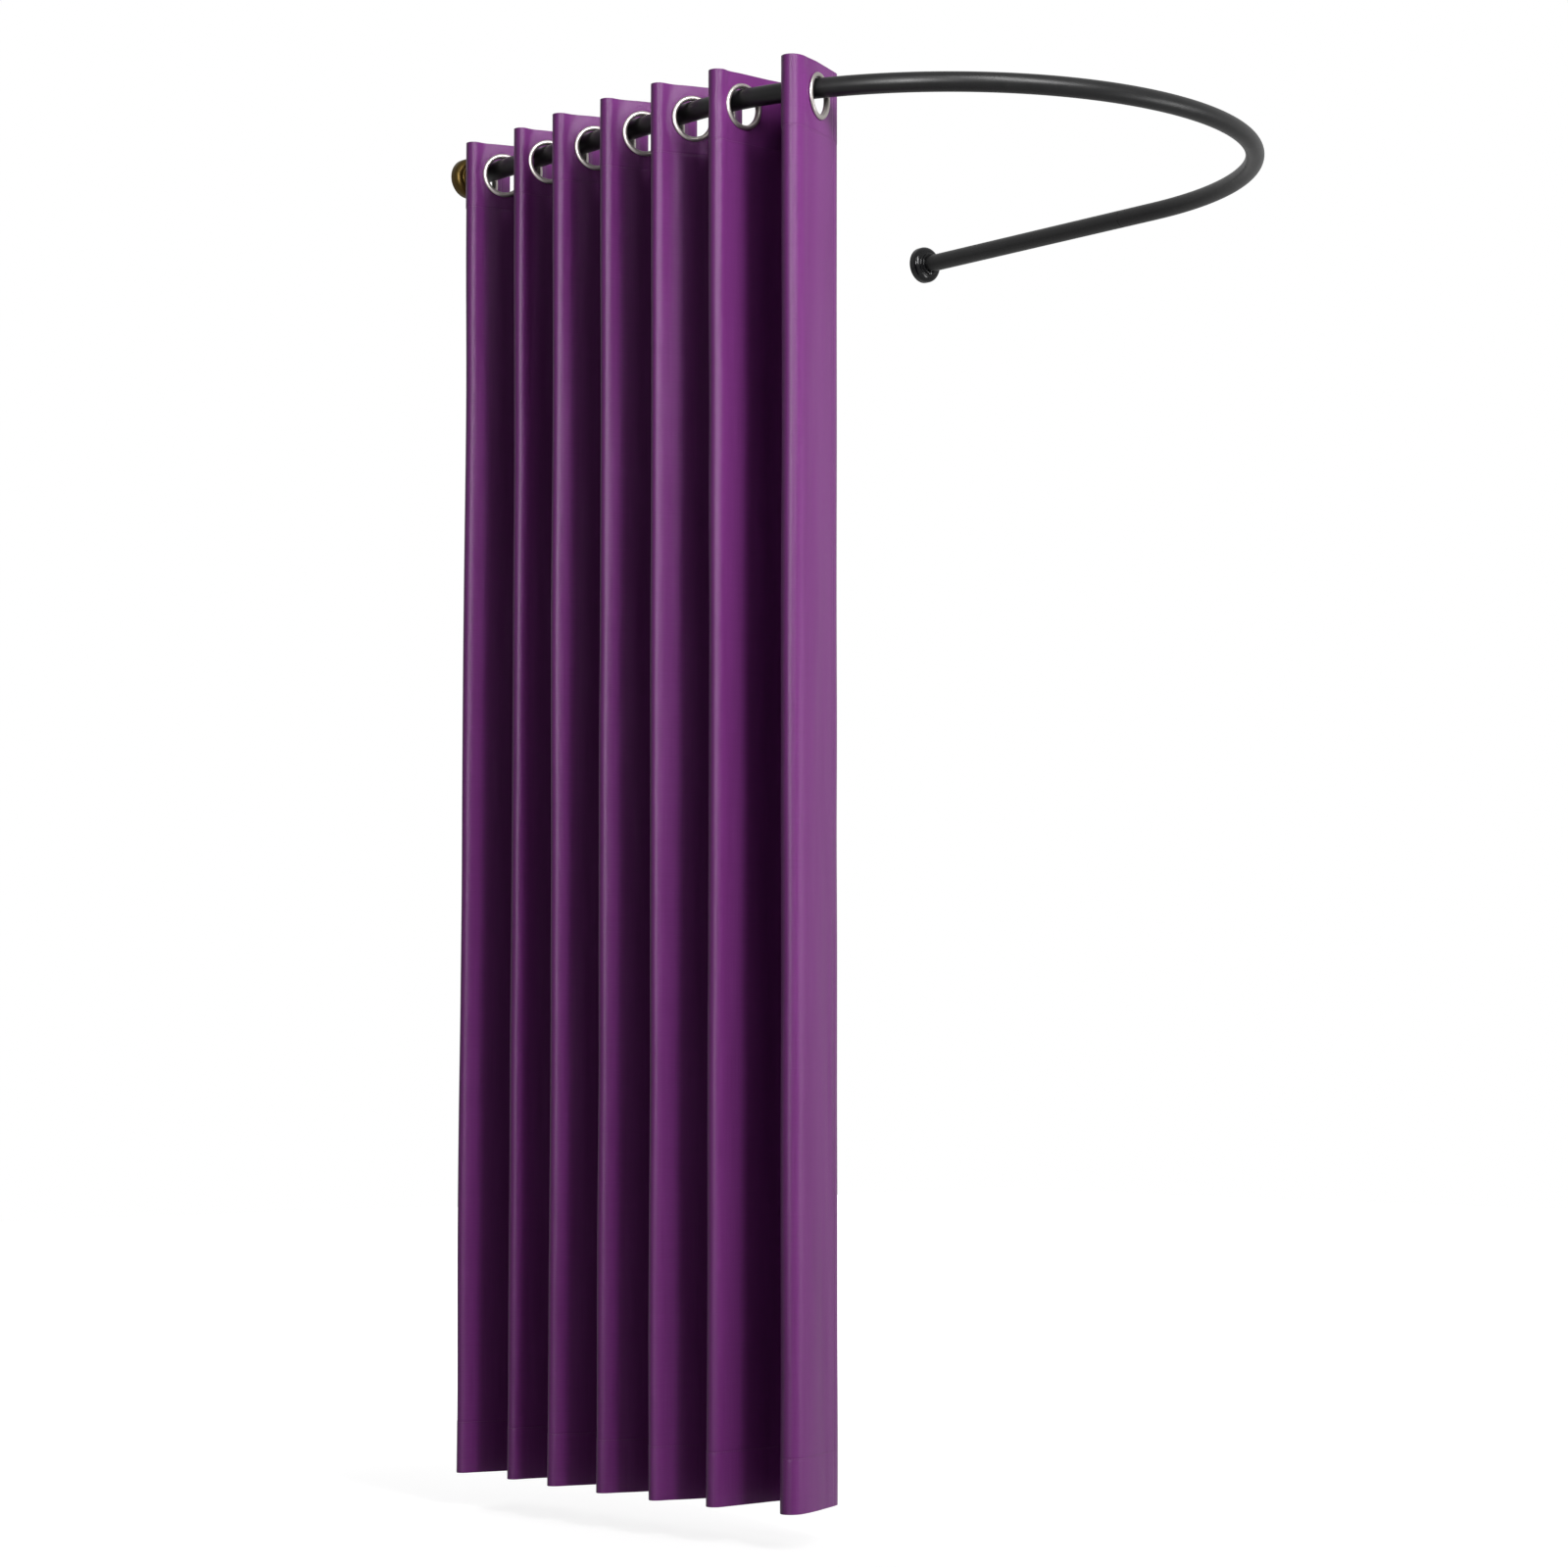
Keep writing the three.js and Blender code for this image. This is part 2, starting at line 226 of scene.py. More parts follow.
class Value:
    """A shader value that Python's own operators extend with Math nodes."""

    def __init__(self, graph: ShaderGraph, socket: bpy.types.NodeSocket) -> None:
        """Wraps a socket of the graph."""
        self.graph = graph
        self.socket = socket

    def through(self, operation: str, *others: Any, swapped: bool = False) -> "Value":
        """Adds a Math node.

        Args:
            operation: what the node does.
            others: its other inputs, numbers or Values.
            swapped: True where the other input comes first.

        Returns:
            The node's result.
        """
        parts = [self, *others]
        parts = parts[::-1] if swapped else parts
        node = self.graph.node("ShaderNodeMath", {"operation": operation}, dict(enumerate(parts)))
        return Value(self.graph, node.outputs[0])

    def __add__(self, other: Any) -> "Value":
        """Sum."""
        return self.through("ADD", other)

    __radd__ = __add__

    def __sub__(self, other: Any) -> "Value":
        """Difference."""
        return self.through("SUBTRACT", other)

    def __rsub__(self, other: Any) -> "Value":
        """Difference from a number."""
        return self.through("SUBTRACT", other, swapped=True)

    def __mul__(self, other: Any) -> "Value":
        """Product."""
        return self.through("MULTIPLY", other)

    __rmul__ = __mul__

    def __truediv__(self, other: Any) -> "Value":
        """Quotient."""
        return self.through("DIVIDE", other)

    def __lt__(self, other: Any) -> "Value":
        """1 where this is less, else 0."""
        return self.through("LESS_THAN", other)

    def __abs__(self) -> "Value":
        """Size without sign."""
        return self.through("ABSOLUTE")

    def wave(self, length: float) -> "Value":
        """A sine of that wavelength in metres."""
        return (self * (WHOLE_TURN / length)).through("SINE")

    def part(self) -> "Value":
        """What is left over past the last whole number."""
        return self.through("FRACT")

    def most(self, other: Any) -> "Value":
        """The larger of the two."""
        return self.through("MAXIMUM", other)

    def eased(self, start: float, end: float) -> "Value":
        """Rises smoothly from 0 to 1.

        Args:
            start: the value up to which it is 0.
            end: the value from which it is 1.

        Returns:
            The eased value.
        """
        node = self.graph.node(
            "ShaderNodeMapRange",
            {"interpolation_type": "SMOOTHSTEP"},
            {"Value": self, "From Min": start, "From Max": end},
        )
        return Value(self.graph, node.outputs["Result"])


@dataclass(frozen=True)
class CurtainFabric:
    """Purple satin-faced cloth: fine weave, slubs along the warp, lock-stitched hems and painted shade
    darkening the grooves beside the stitches.
    """

    deep: Colour = (0.156, 0.024, 0.166, 1.0)
    light: Colour = (0.250, 0.050, 0.268, 1.0)
    thread: Colour = (0.250, 0.066, 0.260, 1.0)
    slub_scale: tuple[float, float] = (1300.0, 9.0)
    shade_scale: tuple[float, float] = (26.0, 2.2)
    weft_scale: tuple[float, float] = (11.0, 1500.0)
    slub_tone: float = 0.7
    shade_tone: float = 0.55
    weft_tone: float = 0.35
    weave_tone: float = 0.06
    # How much painted shade darkens the grooves beside the stitches.
    groove_painted_shade: float = 0.22
    thread_share: float = 0.8
    pick: float = 0.0007
    stitch_pitch: float = 0.0036
    stitch_share: float = 0.74
    stitch_half: float = 0.00055
    pucker_half: float = 0.0032
    relief: float = 0.00016
    relief_share: float = 0.8
    weave_relief: float = 0.18
    slub_relief: float = 0.5
    weft_relief: float = 0.3
    stitch_relief: float = 1.6
    pucker_relief: float = 2.2
    roughness: float = 0.31
    slub_rough: float = 0.09
    shade_rough: float = 0.05
    specular: float = 0.22
    sheen: float = 0.02
    sheen_roughness: float = 0.35
    sheen_tint: Colour = (0.80, 0.55, 0.86, 1.0)
    uv_map: str = "cloth"

    def build(self, lines_across: Sequence[float], lines_along: Sequence[float]) -> bpy.types.Material:
        """Makes the material.

        Args:
            lines_across: how far down the cloth each row of stitches across it is.
            lines_along: how far across the cloth each row of stitches down it is.

        Returns:
            The material.
        """
        graph = ShaderGraph(Slot.CURTAIN.value)
        across, down, _ = graph.coordinates(self.uv_map)
        slub, shade, weft = (
            graph.noise(graph.vector(across * wide, down * tall))
            for wide, tall in (self.slub_scale, self.shade_scale, self.weft_scale)
        )
        weave = across.wave(self.pick) * down.wave(self.pick)
        stitches, pucker = None, None
        rows = [(down, line, across) for line in lines_across]
        rows += [(across, line, down) for line in lines_along]
        for place, line, run in rows:
            off = abs(place - line)
            dash = (off < self.stitch_half) * ((run / self.stitch_pitch).part() < self.stitch_share)
            dip = 1.0 - off.eased(0.0, self.pucker_half)
            stitches = dash if stitches is None else stitches.most(dash)
            pucker = dip if pucker is None else pucker.most(dip)
        tone = 0.5 + (slub - 0.5) * self.slub_tone + (shade - 0.5) * self.shade_tone
        tone = tone + (weft - 0.5) * self.weft_tone + weave * self.weave_tone
        # Painted shade: the cloth's colour is darkened in the grooves beside the stitches.
        cloth = graph.mixed(tone - pucker * self.groove_painted_shade, self.deep, self.light)
        graph.dress({
            "Base Color": graph.mixed(stitches * self.thread_share, cloth, self.thread),
            "Roughness": self.roughness + (slub - 0.5) * self.slub_rough + (shade - 0.5) * self.shade_rough,
            "Specular IOR Level": self.specular,
            "Sheen Weight": self.sheen,
            "Sheen Roughness": self.sheen_roughness,
            "Sheen Tint": self.sheen_tint,
        })
        relief = weave * self.weave_relief + (slub - 0.5) * self.slub_relief
        relief = relief + (weft - 0.5) * self.weft_relief + stitches * self.stitch_relief
        graph.bump(relief - pucker * self.pucker_relief, self.relief, self.relief_share)
        return graph.material


@dataclass(frozen=True)
class MetalFinish:
    """A metal or lacquered surface with grain, soft smears and fine scratches."""

    slot: Slot
    dark: Colour
    bright: Colour
    metallic: float
    roughness: float
    rough_swing: float
    coat: float = 0.0
    coat_roughness: float = 0.1
    specular: float = 0.5
    grain_scale: float = 900.0
    grain_depth: float = 0.00002
    grain_share: float = 0.6
    grain_tone: float = 0.8
    scratch: float = 0.0
    smear_scale: float = 34.0
    smear_tone: float = 1.2
    scratch_scale: tuple[float, float] = (220.0, 2600.0)
    rubbed: Optional[Colour] = None
    rub_scale: float = 120.0
    rub_edges: tuple[float, float] = (0.64, 0.72)
    rub_grain: tuple[float, float] = (0.45, 0.6)
    rub_share: float = 0.5

    def build(self) -> bpy.types.Material:
        """Makes the material.

        Returns:
            The material.
        """
        graph = ShaderGraph(self.slot.value)
        x, y, z = graph.coordinates()
        place = graph.vector(x, y, z)
        grain = graph.noise(place, self.grain_scale, detail=3.0)
        smear = graph.noise(place, self.smear_scale, detail=4.0)
        level, upright = self.scratch_scale
        fine = graph.noise(graph.vector(x * level, y * level, z * upright))
        tone = (smear - 0.5) * self.smear_tone + (grain - 0.5) * self.grain_tone + 0.5
        colour = graph.mixed(tone, self.dark, self.bright)
        if self.rubbed:
            patches = graph.noise(place, self.rub_scale, detail=5.0).eased(*self.rub_edges)
            worn = patches * fine.eased(*self.rub_grain)
            colour = graph.mixed(worn * self.rub_share, colour, self.rubbed)
        swing = (smear - 0.5) * self.rough_swing + (fine - 0.5) * self.scratch
        graph.dress({
            "Base Color": colour,
            "Metallic": self.metallic,
            "Roughness": swing + self.roughness,
            "Specular IOR Level": self.specular,
            "Coat Weight": self.coat,
            "Coat Roughness": self.coat_roughness,
        })
        graph.bump(grain + fine * self.scratch, self.grain_depth, self.grain_share)
        return graph.material


FINISHES = {
    Slot.NICKEL: MetalFinish(
        Slot.NICKEL, dark=(0.42, 0.39, 0.37, 1.0), bright=(0.62, 0.58, 0.55, 1.0),
        metallic=1.0, roughness=0.40, rough_swing=0.10,
        grain_scale=1500.0, grain_depth=0.000006, scratch=0.14,
    ),
    Slot.RAIL: MetalFinish(
        Slot.RAIL, dark=(0.007, 0.007, 0.0075, 1.0), bright=(0.015, 0.015, 0.0155, 1.0),
        metallic=0.0, roughness=0.36, rough_swing=0.10,
        specular=0.35, grain_scale=1100.0, grain_depth=0.00002, rubbed=(0.030, 0.030, 0.030, 1.0),
    ),
    Slot.CUP_BLACK: MetalFinish(
        Slot.CUP_BLACK, dark=(0.004, 0.004, 0.005, 1.0), bright=(0.008, 0.008, 0.009, 1.0),
        metallic=0.0, roughness=0.14, rough_swing=0.03,
        coat=0.25, coat_roughness=0.05, specular=0.2, grain_scale=420.0, grain_depth=0.000003,
    ),
    Slot.CUP_BRONZE: MetalFinish(
        Slot.CUP_BRONZE, dark=(0.050, 0.030, 0.005, 1.0), bright=(0.120, 0.075, 0.014, 1.0),
        metallic=0.8, roughness=0.38, rough_swing=0.14,
        grain_scale=700.0, grain_depth=0.00001, scratch=0.12, rubbed=(0.20, 0.14, 0.05, 1.0),
    ),
    Slot.STEEL: MetalFinish(
        Slot.STEEL, dark=(0.40, 0.41, 0.42, 1.0), bright=(0.54, 0.55, 0.56, 1.0),
        metallic=1.0, roughness=0.36, rough_swing=0.14,
        grain_scale=1300.0, grain_depth=0.00001, scratch=0.18,
    ),
}


# Mesh making


def stand(name: str, data: bpy.types.ID) -> bpy.types.Object:
    """Adds an object to the scene.

    Args:
        name: the object's name.
        data: its mesh, lamp or camera.

    Returns:
        The object.
    """
    made = bpy.data.objects.new(name, data)
    bpy.context.scene.collection.objects.link(made)
    return made


class Workshop:
    """Shared steps that turn a bmesh into a finished, named piece of the part."""

    def __init__(self) -> None:
        """Makes every finish but the curtain's, which needs the cloth's width."""
        self.materials = {slot: finish.build() for slot, finish in FINISHES.items()}

    def piece(
        self,
        name: str,
        bm: bmesh.types.BMesh,
        slot: Slot,
        replaces: Sequence[str] = (),
        body: Optional[str] = None,
        sharp: Optional[float] = 35.0,
    ) -> bpy.types.Object:
        """Turns a bmesh into an object of the scene.

        Args:
            name: the piece's name.
            bm: its mesh, which is freed.
            slot: the finish it takes.
            replaces: the nodes that it stands for.
            body: the body it rides on, or None to leave the piece without one here.
            sharp: edges that bend by more than these degrees stay crisp, None to leave them all smooth.

        Returns:
            The object.
        """
        mesh = bpy.data.meshes.new(name)
        bm.to_mesh(mesh)
        bm.free()
        mesh.shade_smooth()
        if sharp is not None:
            mesh.set_sharp_from_angle(angle=math.radians(sharp))
        made = stand(name, mesh)
        mesh.materials.append(self.materials[slot])
        if replaces:
            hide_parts(*replaces)
        if body:
            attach(made, body)
        log.info("%s: %d faces, %s", name, len(mesh.polygons), slot.value)
        return made

    def drilled(self, bm: bmesh.types.BMesh, cutters: Iterable[bmesh.types.BMesh]) -> bmesh.types.BMesh:
        """Takes the cutters out of a closed shape.

        Args:
            bm: the shape, which is freed.
            cutters: closed shapes to take away, which are freed.

        Returns:
            The shape with its holes.
        """
        made = []
        for source in (bm, *cutters):
            mesh = bpy.data.meshes.new("drilling")
            source.to_mesh(mesh)
            source.free()
            made.append(stand("drilling", mesh))
        for cutter in made[1:]:
            cut = made[0].modifiers.new("hole", "BOOLEAN")
            cut.operation, cut.solver, cut.object = "DIFFERENCE", "EXACT", cutter
        bpy.context.view_layer.update()
        shown = made[0].evaluated_get(bpy.context.evaluated_depsgraph_get())
        result = bmesh.new()
        result.from_mesh(shown.to_mesh())
        shown.to_mesh_clear()
        for used in made:
            mesh = used.data
            bpy.data.objects.remove(used)
            bpy.data.meshes.remove(mesh)
        bmesh.ops.remove_doubles(result, verts=result.verts, dist=TOUCHING)
        return result


def turned(profile: Sequence[tuple[float, float]], place: Matrix, steps: int = 96) -> bmesh.types.BMesh:
    """Spins a closed profile into a ring-shaped or solid body.

    Args:
        profile: (radius, height) in metres, in order round the body's section.
        place: where the spun body goes. Its heights run along place's Z axis.
        steps: faces round the turn.

    Returns:
        The body, closed, with its faces outwards.
    """
    bm = bmesh.new()
    corners = [bm.verts.new((radius, 0.0, height)) for radius, height in profile]
    edges = [bm.edges.new(pair) for pair in zip(corners, corners[1:])]
    if profile[0][0] > 0 or profile[-1][0] > 0:
        edges.append(bm.edges.new((corners[-1], corners[0])))
    bmesh.ops.spin(
        bm, geom=corners + edges, cent=(0, 0, 0), axis=(0, 0, 1), dvec=(0, 0, 0),
        angle=WHOLE_TURN, steps=steps, use_merge=True, use_duplicate=False,
    )
    bmesh.ops.remove_doubles(bm, verts=bm.verts, dist=WELD)
    bmesh.ops.dissolve_degenerate(bm, edges=bm.edges, dist=WELD)
    bmesh.ops.recalc_face_normals(bm, faces=bm.faces)
    bmesh.ops.transform(bm, matrix=place, verts=bm.verts)
    return bm


def out_of_wall(x: float, y: float = 0.0, z: float = 0.0) -> Matrix:
    """The place of a spun body that stands out from the wall with its axis at x and z."""
    return Matrix.Translation((x, y, z)) @ Matrix.Rotation(HALF_TURN / 2, 4, "X")


def from_below(x: float, y: float) -> Matrix:
    """The place of a spun body whose heights run down from the rail's axis at x and y."""
    return Matrix.Translation((x, y, 0)) @ Matrix.Rotation(HALF_TURN, 4, "X")


def smooth(share: Any) -> Any:
    """Eases a share from 0 to 1, a number or an array, at both of its ends."""
    return share * share * (3 - 2 * share)


def arc(centre: tuple[float, float], radius: float, start: float, end: float, steps: int) -> Points:
    """Points on an arc of a profile.

    Args:
        centre: the arc's centre.
        radius: its radius.
        start: its first angle, in degrees.
        end: its last angle, in degrees.
        steps: how many spans it has.

    Returns:
        The points in order.
    """
    angles = [math.radians(start + (end - start) * i / steps) for i in range(steps + 1)]
    return [(centre[0] + radius * math.cos(a), centre[1] + radius * math.sin(a)) for a in angles]


# Rail and wall fittings


@dataclass
class Rail:
    """The U-shaped tube in three lengths, with its joint screws."""

    shop: Workshop
    radius: float = 0.014
    wall: float = 0.0015
    arm_start: float = -0.0053
    seam_at: float = -0.470
    seam_gap: float = 0.0003
    screw_inset: float = 0.025
    screw_radius: float = 0.002
    screw_hole: float = 0.0023
    screw_edge: float = 0.0002
    socket_radius: float = 0.00115
    socket_deep: float = 0.0014
    joint_screw: tuple[float, float] = (0.0109, 0.0138)
    hole_clear: float = 0.006
    sides: int = 72
    bend_steps: int = 96
    screw_sides: int = 32
    rim: float = 0.0004
    rim_angle: float = 60.0
    crease: float = 15.0

    def open_circle(self, bm: bmesh.types.BMesh, x: float, y: float) -> Loop:
        """Adds a circle of the tube's section that faces along Y, and gives its edges."""
        bmesh.ops.create_circle(bm, segments=self.sides, radius=self.radius, matrix=out_of_wall(x, y))
        return list(bm.edges)

    @staticmethod
    def drawn(bm: bmesh.types.BMesh, edges: Loop, along: float) -> Loop:
        """Draws a loop of edges out along Y.

        Args:
            bm: the tube's skin.
            edges: the loop.
            along: how far it goes.

        Returns:
            The new loop.
        """
        out = bmesh.ops.extrude_edge_only(bm, edges=edges)["geom"]
        verts = {g for g in out if isinstance(g, bmesh.types.BMVert)}
        bmesh.ops.translate(bm, verts=list(verts), vec=Vector((0, along, 0)))
        return [g for g in out if isinstance(g, bmesh.types.BMEdge) and verts.issuperset(g.verts)]

    def walled(self, bm: bmesh.types.BMesh) -> bmesh.types.BMesh:
        """Gives the skin its wall and rounds the rims at its ends.

        Args:
            bm: the tube's skin, which is changed.

        Returns:
            The same mesh.
        """
        bmesh.ops.recalc_face_normals(bm, faces=bm.faces)
        bmesh.ops.solidify(bm, geom=bm.faces, thickness=self.wall)
        bmesh.ops.recalc_face_normals(bm, faces=bm.faces)
        bent = math.radians(self.rim_angle)
        rims = [e for e in bm.edges if len(e.link_faces) == 2 and e.calc_face_angle(0) > bent]
        bmesh.ops.bevel(
            bm, geom=rims, offset=self.rim, segments=2, profile=0.5, affect="EDGES", material=-1,
        )
        return bm

    def arm(self, side: Side) -> None:
        """Builds one arm, drilled for its joint screw.

        Args:
            side: the end of the rail that it is on.
        """
        bm = bmesh.new()
        loop = self.open_circle(bm, side.value, self.arm_start)
        hole_at = self.seam_at + self.screw_inset
        for stop in (hole_at + self.hole_clear, hole_at - self.hole_clear, self.seam_at + self.seam_gap):
            loop = self.drawn(bm, loop, stop - loop[0].verts[0].co.y)
        inner, outer = self.radius - 2 * self.wall, self.radius + self.wall
        cutter = self.rod(self.screw_hole, inner, outer, side.value, hole_at)
        drilled = self.shop.drilled(self.walled(bm), [cutter])
        name = f"rail_{side.label}_arm"
        self.shop.piece(f"{name}_tube", drilled, Slot.RAIL, [name], ROOT_BODY, self.crease)

    def bend(self) -> None:
        """Builds the half circle with its two short straight ends."""
        bm = bmesh.new()
        loop = self.open_circle(bm, 0.0, self.seam_at)
        loop = self.drawn(bm, loop, -ARM_LENGTH - self.seam_at)
        verts = list({v for e in loop for v in e.verts})
        spun = bmesh.ops.spin(
            bm, geom=loop + verts, cent=(BEND_RADIUS, -ARM_LENGTH, 0), axis=(0, 0, 1),
            dvec=(0, 0, 0), angle=HALF_TURN, steps=self.bend_steps, use_merge=False, use_duplicate=False,
        )["geom_last"]
        loop = [g for g in spun if isinstance(g, bmesh.types.BMEdge)]
        self.drawn(bm, loop, ARM_LENGTH + self.seam_at)
        self.shop.piece("rail_bend_tube", self.walled(bm), Slot.RAIL, ["rail_bend"], ROOT_BODY, self.crease)

    def rod(self, radius: float, top: float, bottom: float, x: float, y: float) -> bmesh.types.BMesh:
        """A plain rod that stands down from the rail's axis, between two depths below it."""
        section = [(0, top), (radius, top), (radius, bottom), (0, bottom)]
        return turned(section, from_below(x, y), self.screw_sides)

    def grub_screw(self, name: str, x: float, y: float, top: float, bottom: float) -> None:
        """Builds a set screw with a six-sided socket.

        Args:
            name: the node that it stands for.
            x: where it is along the wall.
            y: where it is out from the wall.
            top: how far below the rail's axis its inner end is.
            bottom: how far below the rail's axis its socket's end is.
        """
        radius, edge = self.screw_radius, self.screw_edge
        body = turned(
            [(0, top), (radius - 2 * edge, top), (radius, top + 2 * edge), (radius, bottom - edge),
             (radius - edge, bottom), (0, bottom)],
            from_below(x, y), self.screw_sides,
        )
        socket = bmesh.new()
        bmesh.ops.create_cone(
            socket, cap_ends=True, segments=6, radius1=self.socket_radius, radius2=self.socket_radius,
            depth=2 * self.socket_deep, matrix=Matrix.Translation((x, y, -bottom)),
        )
        self.shop.piece(f"{name}_socket", self.shop.drilled(body, [socket]), Slot.STEEL, [name], ROOT_BODY)

    def build(self) -> None:
        """Builds the whole rail."""
        self.bend()
        for side in Side:
            self.arm(side)
            place = self.seam_at + self.screw_inset
            self.grub_screw(f"rail_screw_{side.label}", side.value, place, *self.joint_screw)


@dataclass
class WallFitting:
    """A wall disc and the round cup that covers it."""

    shop: Workshop
    rail: Rail
    side: Side
    finish: Slot
    disc_radius: float = 0.026
    disc_thick: float = 0.005
    spigot_radius: float = 0.0122
    spigot_end: float = 0.022
    screw_reach: float = 0.0195
    screw_shank: float = 0.0023
    screw_head: float = 0.0041
    cup_radius: float = 0.030
    cup_wall: float = 0.0025
    collar_radius: float = 0.018
    collar_bore: float = 0.0143
    collar_from: float = 0.0206
    collar_end: float = 0.022
    collar_lip: float = 0.0012
    bore_from: float = 0.0146
    shoulder: tuple[float, float] = (0.0205, 0.0075)
    shoulder_radius: float = 0.0095
    hollow: tuple[float, float] = (0.0205, 0.0073)
    neck: tuple[float, float] = (0.0207, 0.0190)
    neck_radius: float = 0.0025
    cup_screw_at: float = 0.020
    cup_screw: tuple[float, float] = (0.0144, 0.0178)
    edge: float = 0.0006
    inner_edge: float = 0.0004
    cup_sides: int = 128
    drill_clear: float = 0.002
    drill_from: float = -0.001
    sink_from: float = 0.0025
    sink_to: float = 0.0047
    drill_to: float = 0.0053

    def disc(self) -> None:
        """Builds the disc with its spigot and its two countersunk holes."""
        edge = self.edge
        body = turned(
            [(0, 0), (self.disc_radius - edge, 0), (self.disc_radius, edge),
             (self.disc_radius, self.disc_thick - edge), (self.disc_radius - edge, self.disc_thick),
             (self.spigot_radius + edge, self.disc_thick), (self.spigot_radius, self.disc_thick + edge),
             (self.spigot_radius, self.spigot_end - edge), (self.spigot_radius - edge, self.spigot_end),
             (0, self.spigot_end)],
            out_of_wall(self.side.value),
        )
        sinks = []
        for share in (-1, 1):
            sinks.append(turned(
                [(0, self.drill_from), (self.screw_shank, self.drill_from),
                 (self.screw_shank, self.sink_from), (self.screw_head, self.sink_to),
                 (self.screw_head, self.drill_to), (0, self.drill_to)],
                out_of_wall(self.side.value, z=share * self.screw_reach), self.rail.screw_sides,
            ))
        name = f"wall_disc_{self.side.label}"
        self.shop.piece(f"{name}_turned", self.shop.drilled(body, sinks), Slot.STEEL, [name], ROOT_BODY)

    def cup(self) -> None:
        """Builds the round-shouldered cup, drilled below for its screw."""
        outer, wall, collar = self.cup_radius, self.cup_wall, self.collar_radius
        bore, end, lip, break_edge = self.collar_bore, self.collar_end, self.collar_lip, self.inner_edge
        dome = [(outer - self.edge, 0.0), (outer, self.edge), (outer, self.shoulder[1])]
        dome += arc(self.shoulder, self.shoulder_radius, start=4, end=82, steps=14)
        dome += arc(self.neck, self.neck_radius, start=258, end=190, steps=5)
        dome += [(collar, self.collar_from)]
        dome += arc((collar - lip, end - lip), lip, start=12, end=90, steps=4)
        inside = [(bore + break_edge, end), (bore, end - break_edge), (bore, self.bore_from)]
        inside += arc(self.hollow, self.shoulder_radius - wall, start=92, end=0, steps=10)
        inside += [(outer - wall, self.edge), (outer - wall + break_edge, 0.0)]
        body = turned(dome + inside, out_of_wall(self.side.value), self.cup_sides)
        inner, x = bore - self.drill_clear, self.side.value
        hole = self.rail.rod(self.rail.screw_hole, inner, outer, x, -self.cup_screw_at)
        name = f"wall_cup_{self.side.label}"
        self.shop.piece(f"{name}_turned", self.shop.drilled(body, [hole]), self.finish, [name], ROOT_BODY)

    def build(self) -> None:
        """Builds the disc, the cup and the cup's screw."""
        self.disc()
        self.cup()
        name = f"cup_screw_{self.side.label}"
        self.rail.grub_screw(name, self.side.value, -self.cup_screw_at, *self.cup_screw)


# Curtain


@dataclass(frozen=True)
class Panel:
    """One panel of the curtain in plan, as complex numbers X + iY."""

    ring: complex
    along: complex
    side: int
    leaf_share: float
    heading: complex

    @property
    def front(self) -> complex:
        """The way its right side faces."""
        return self.heading * -1j


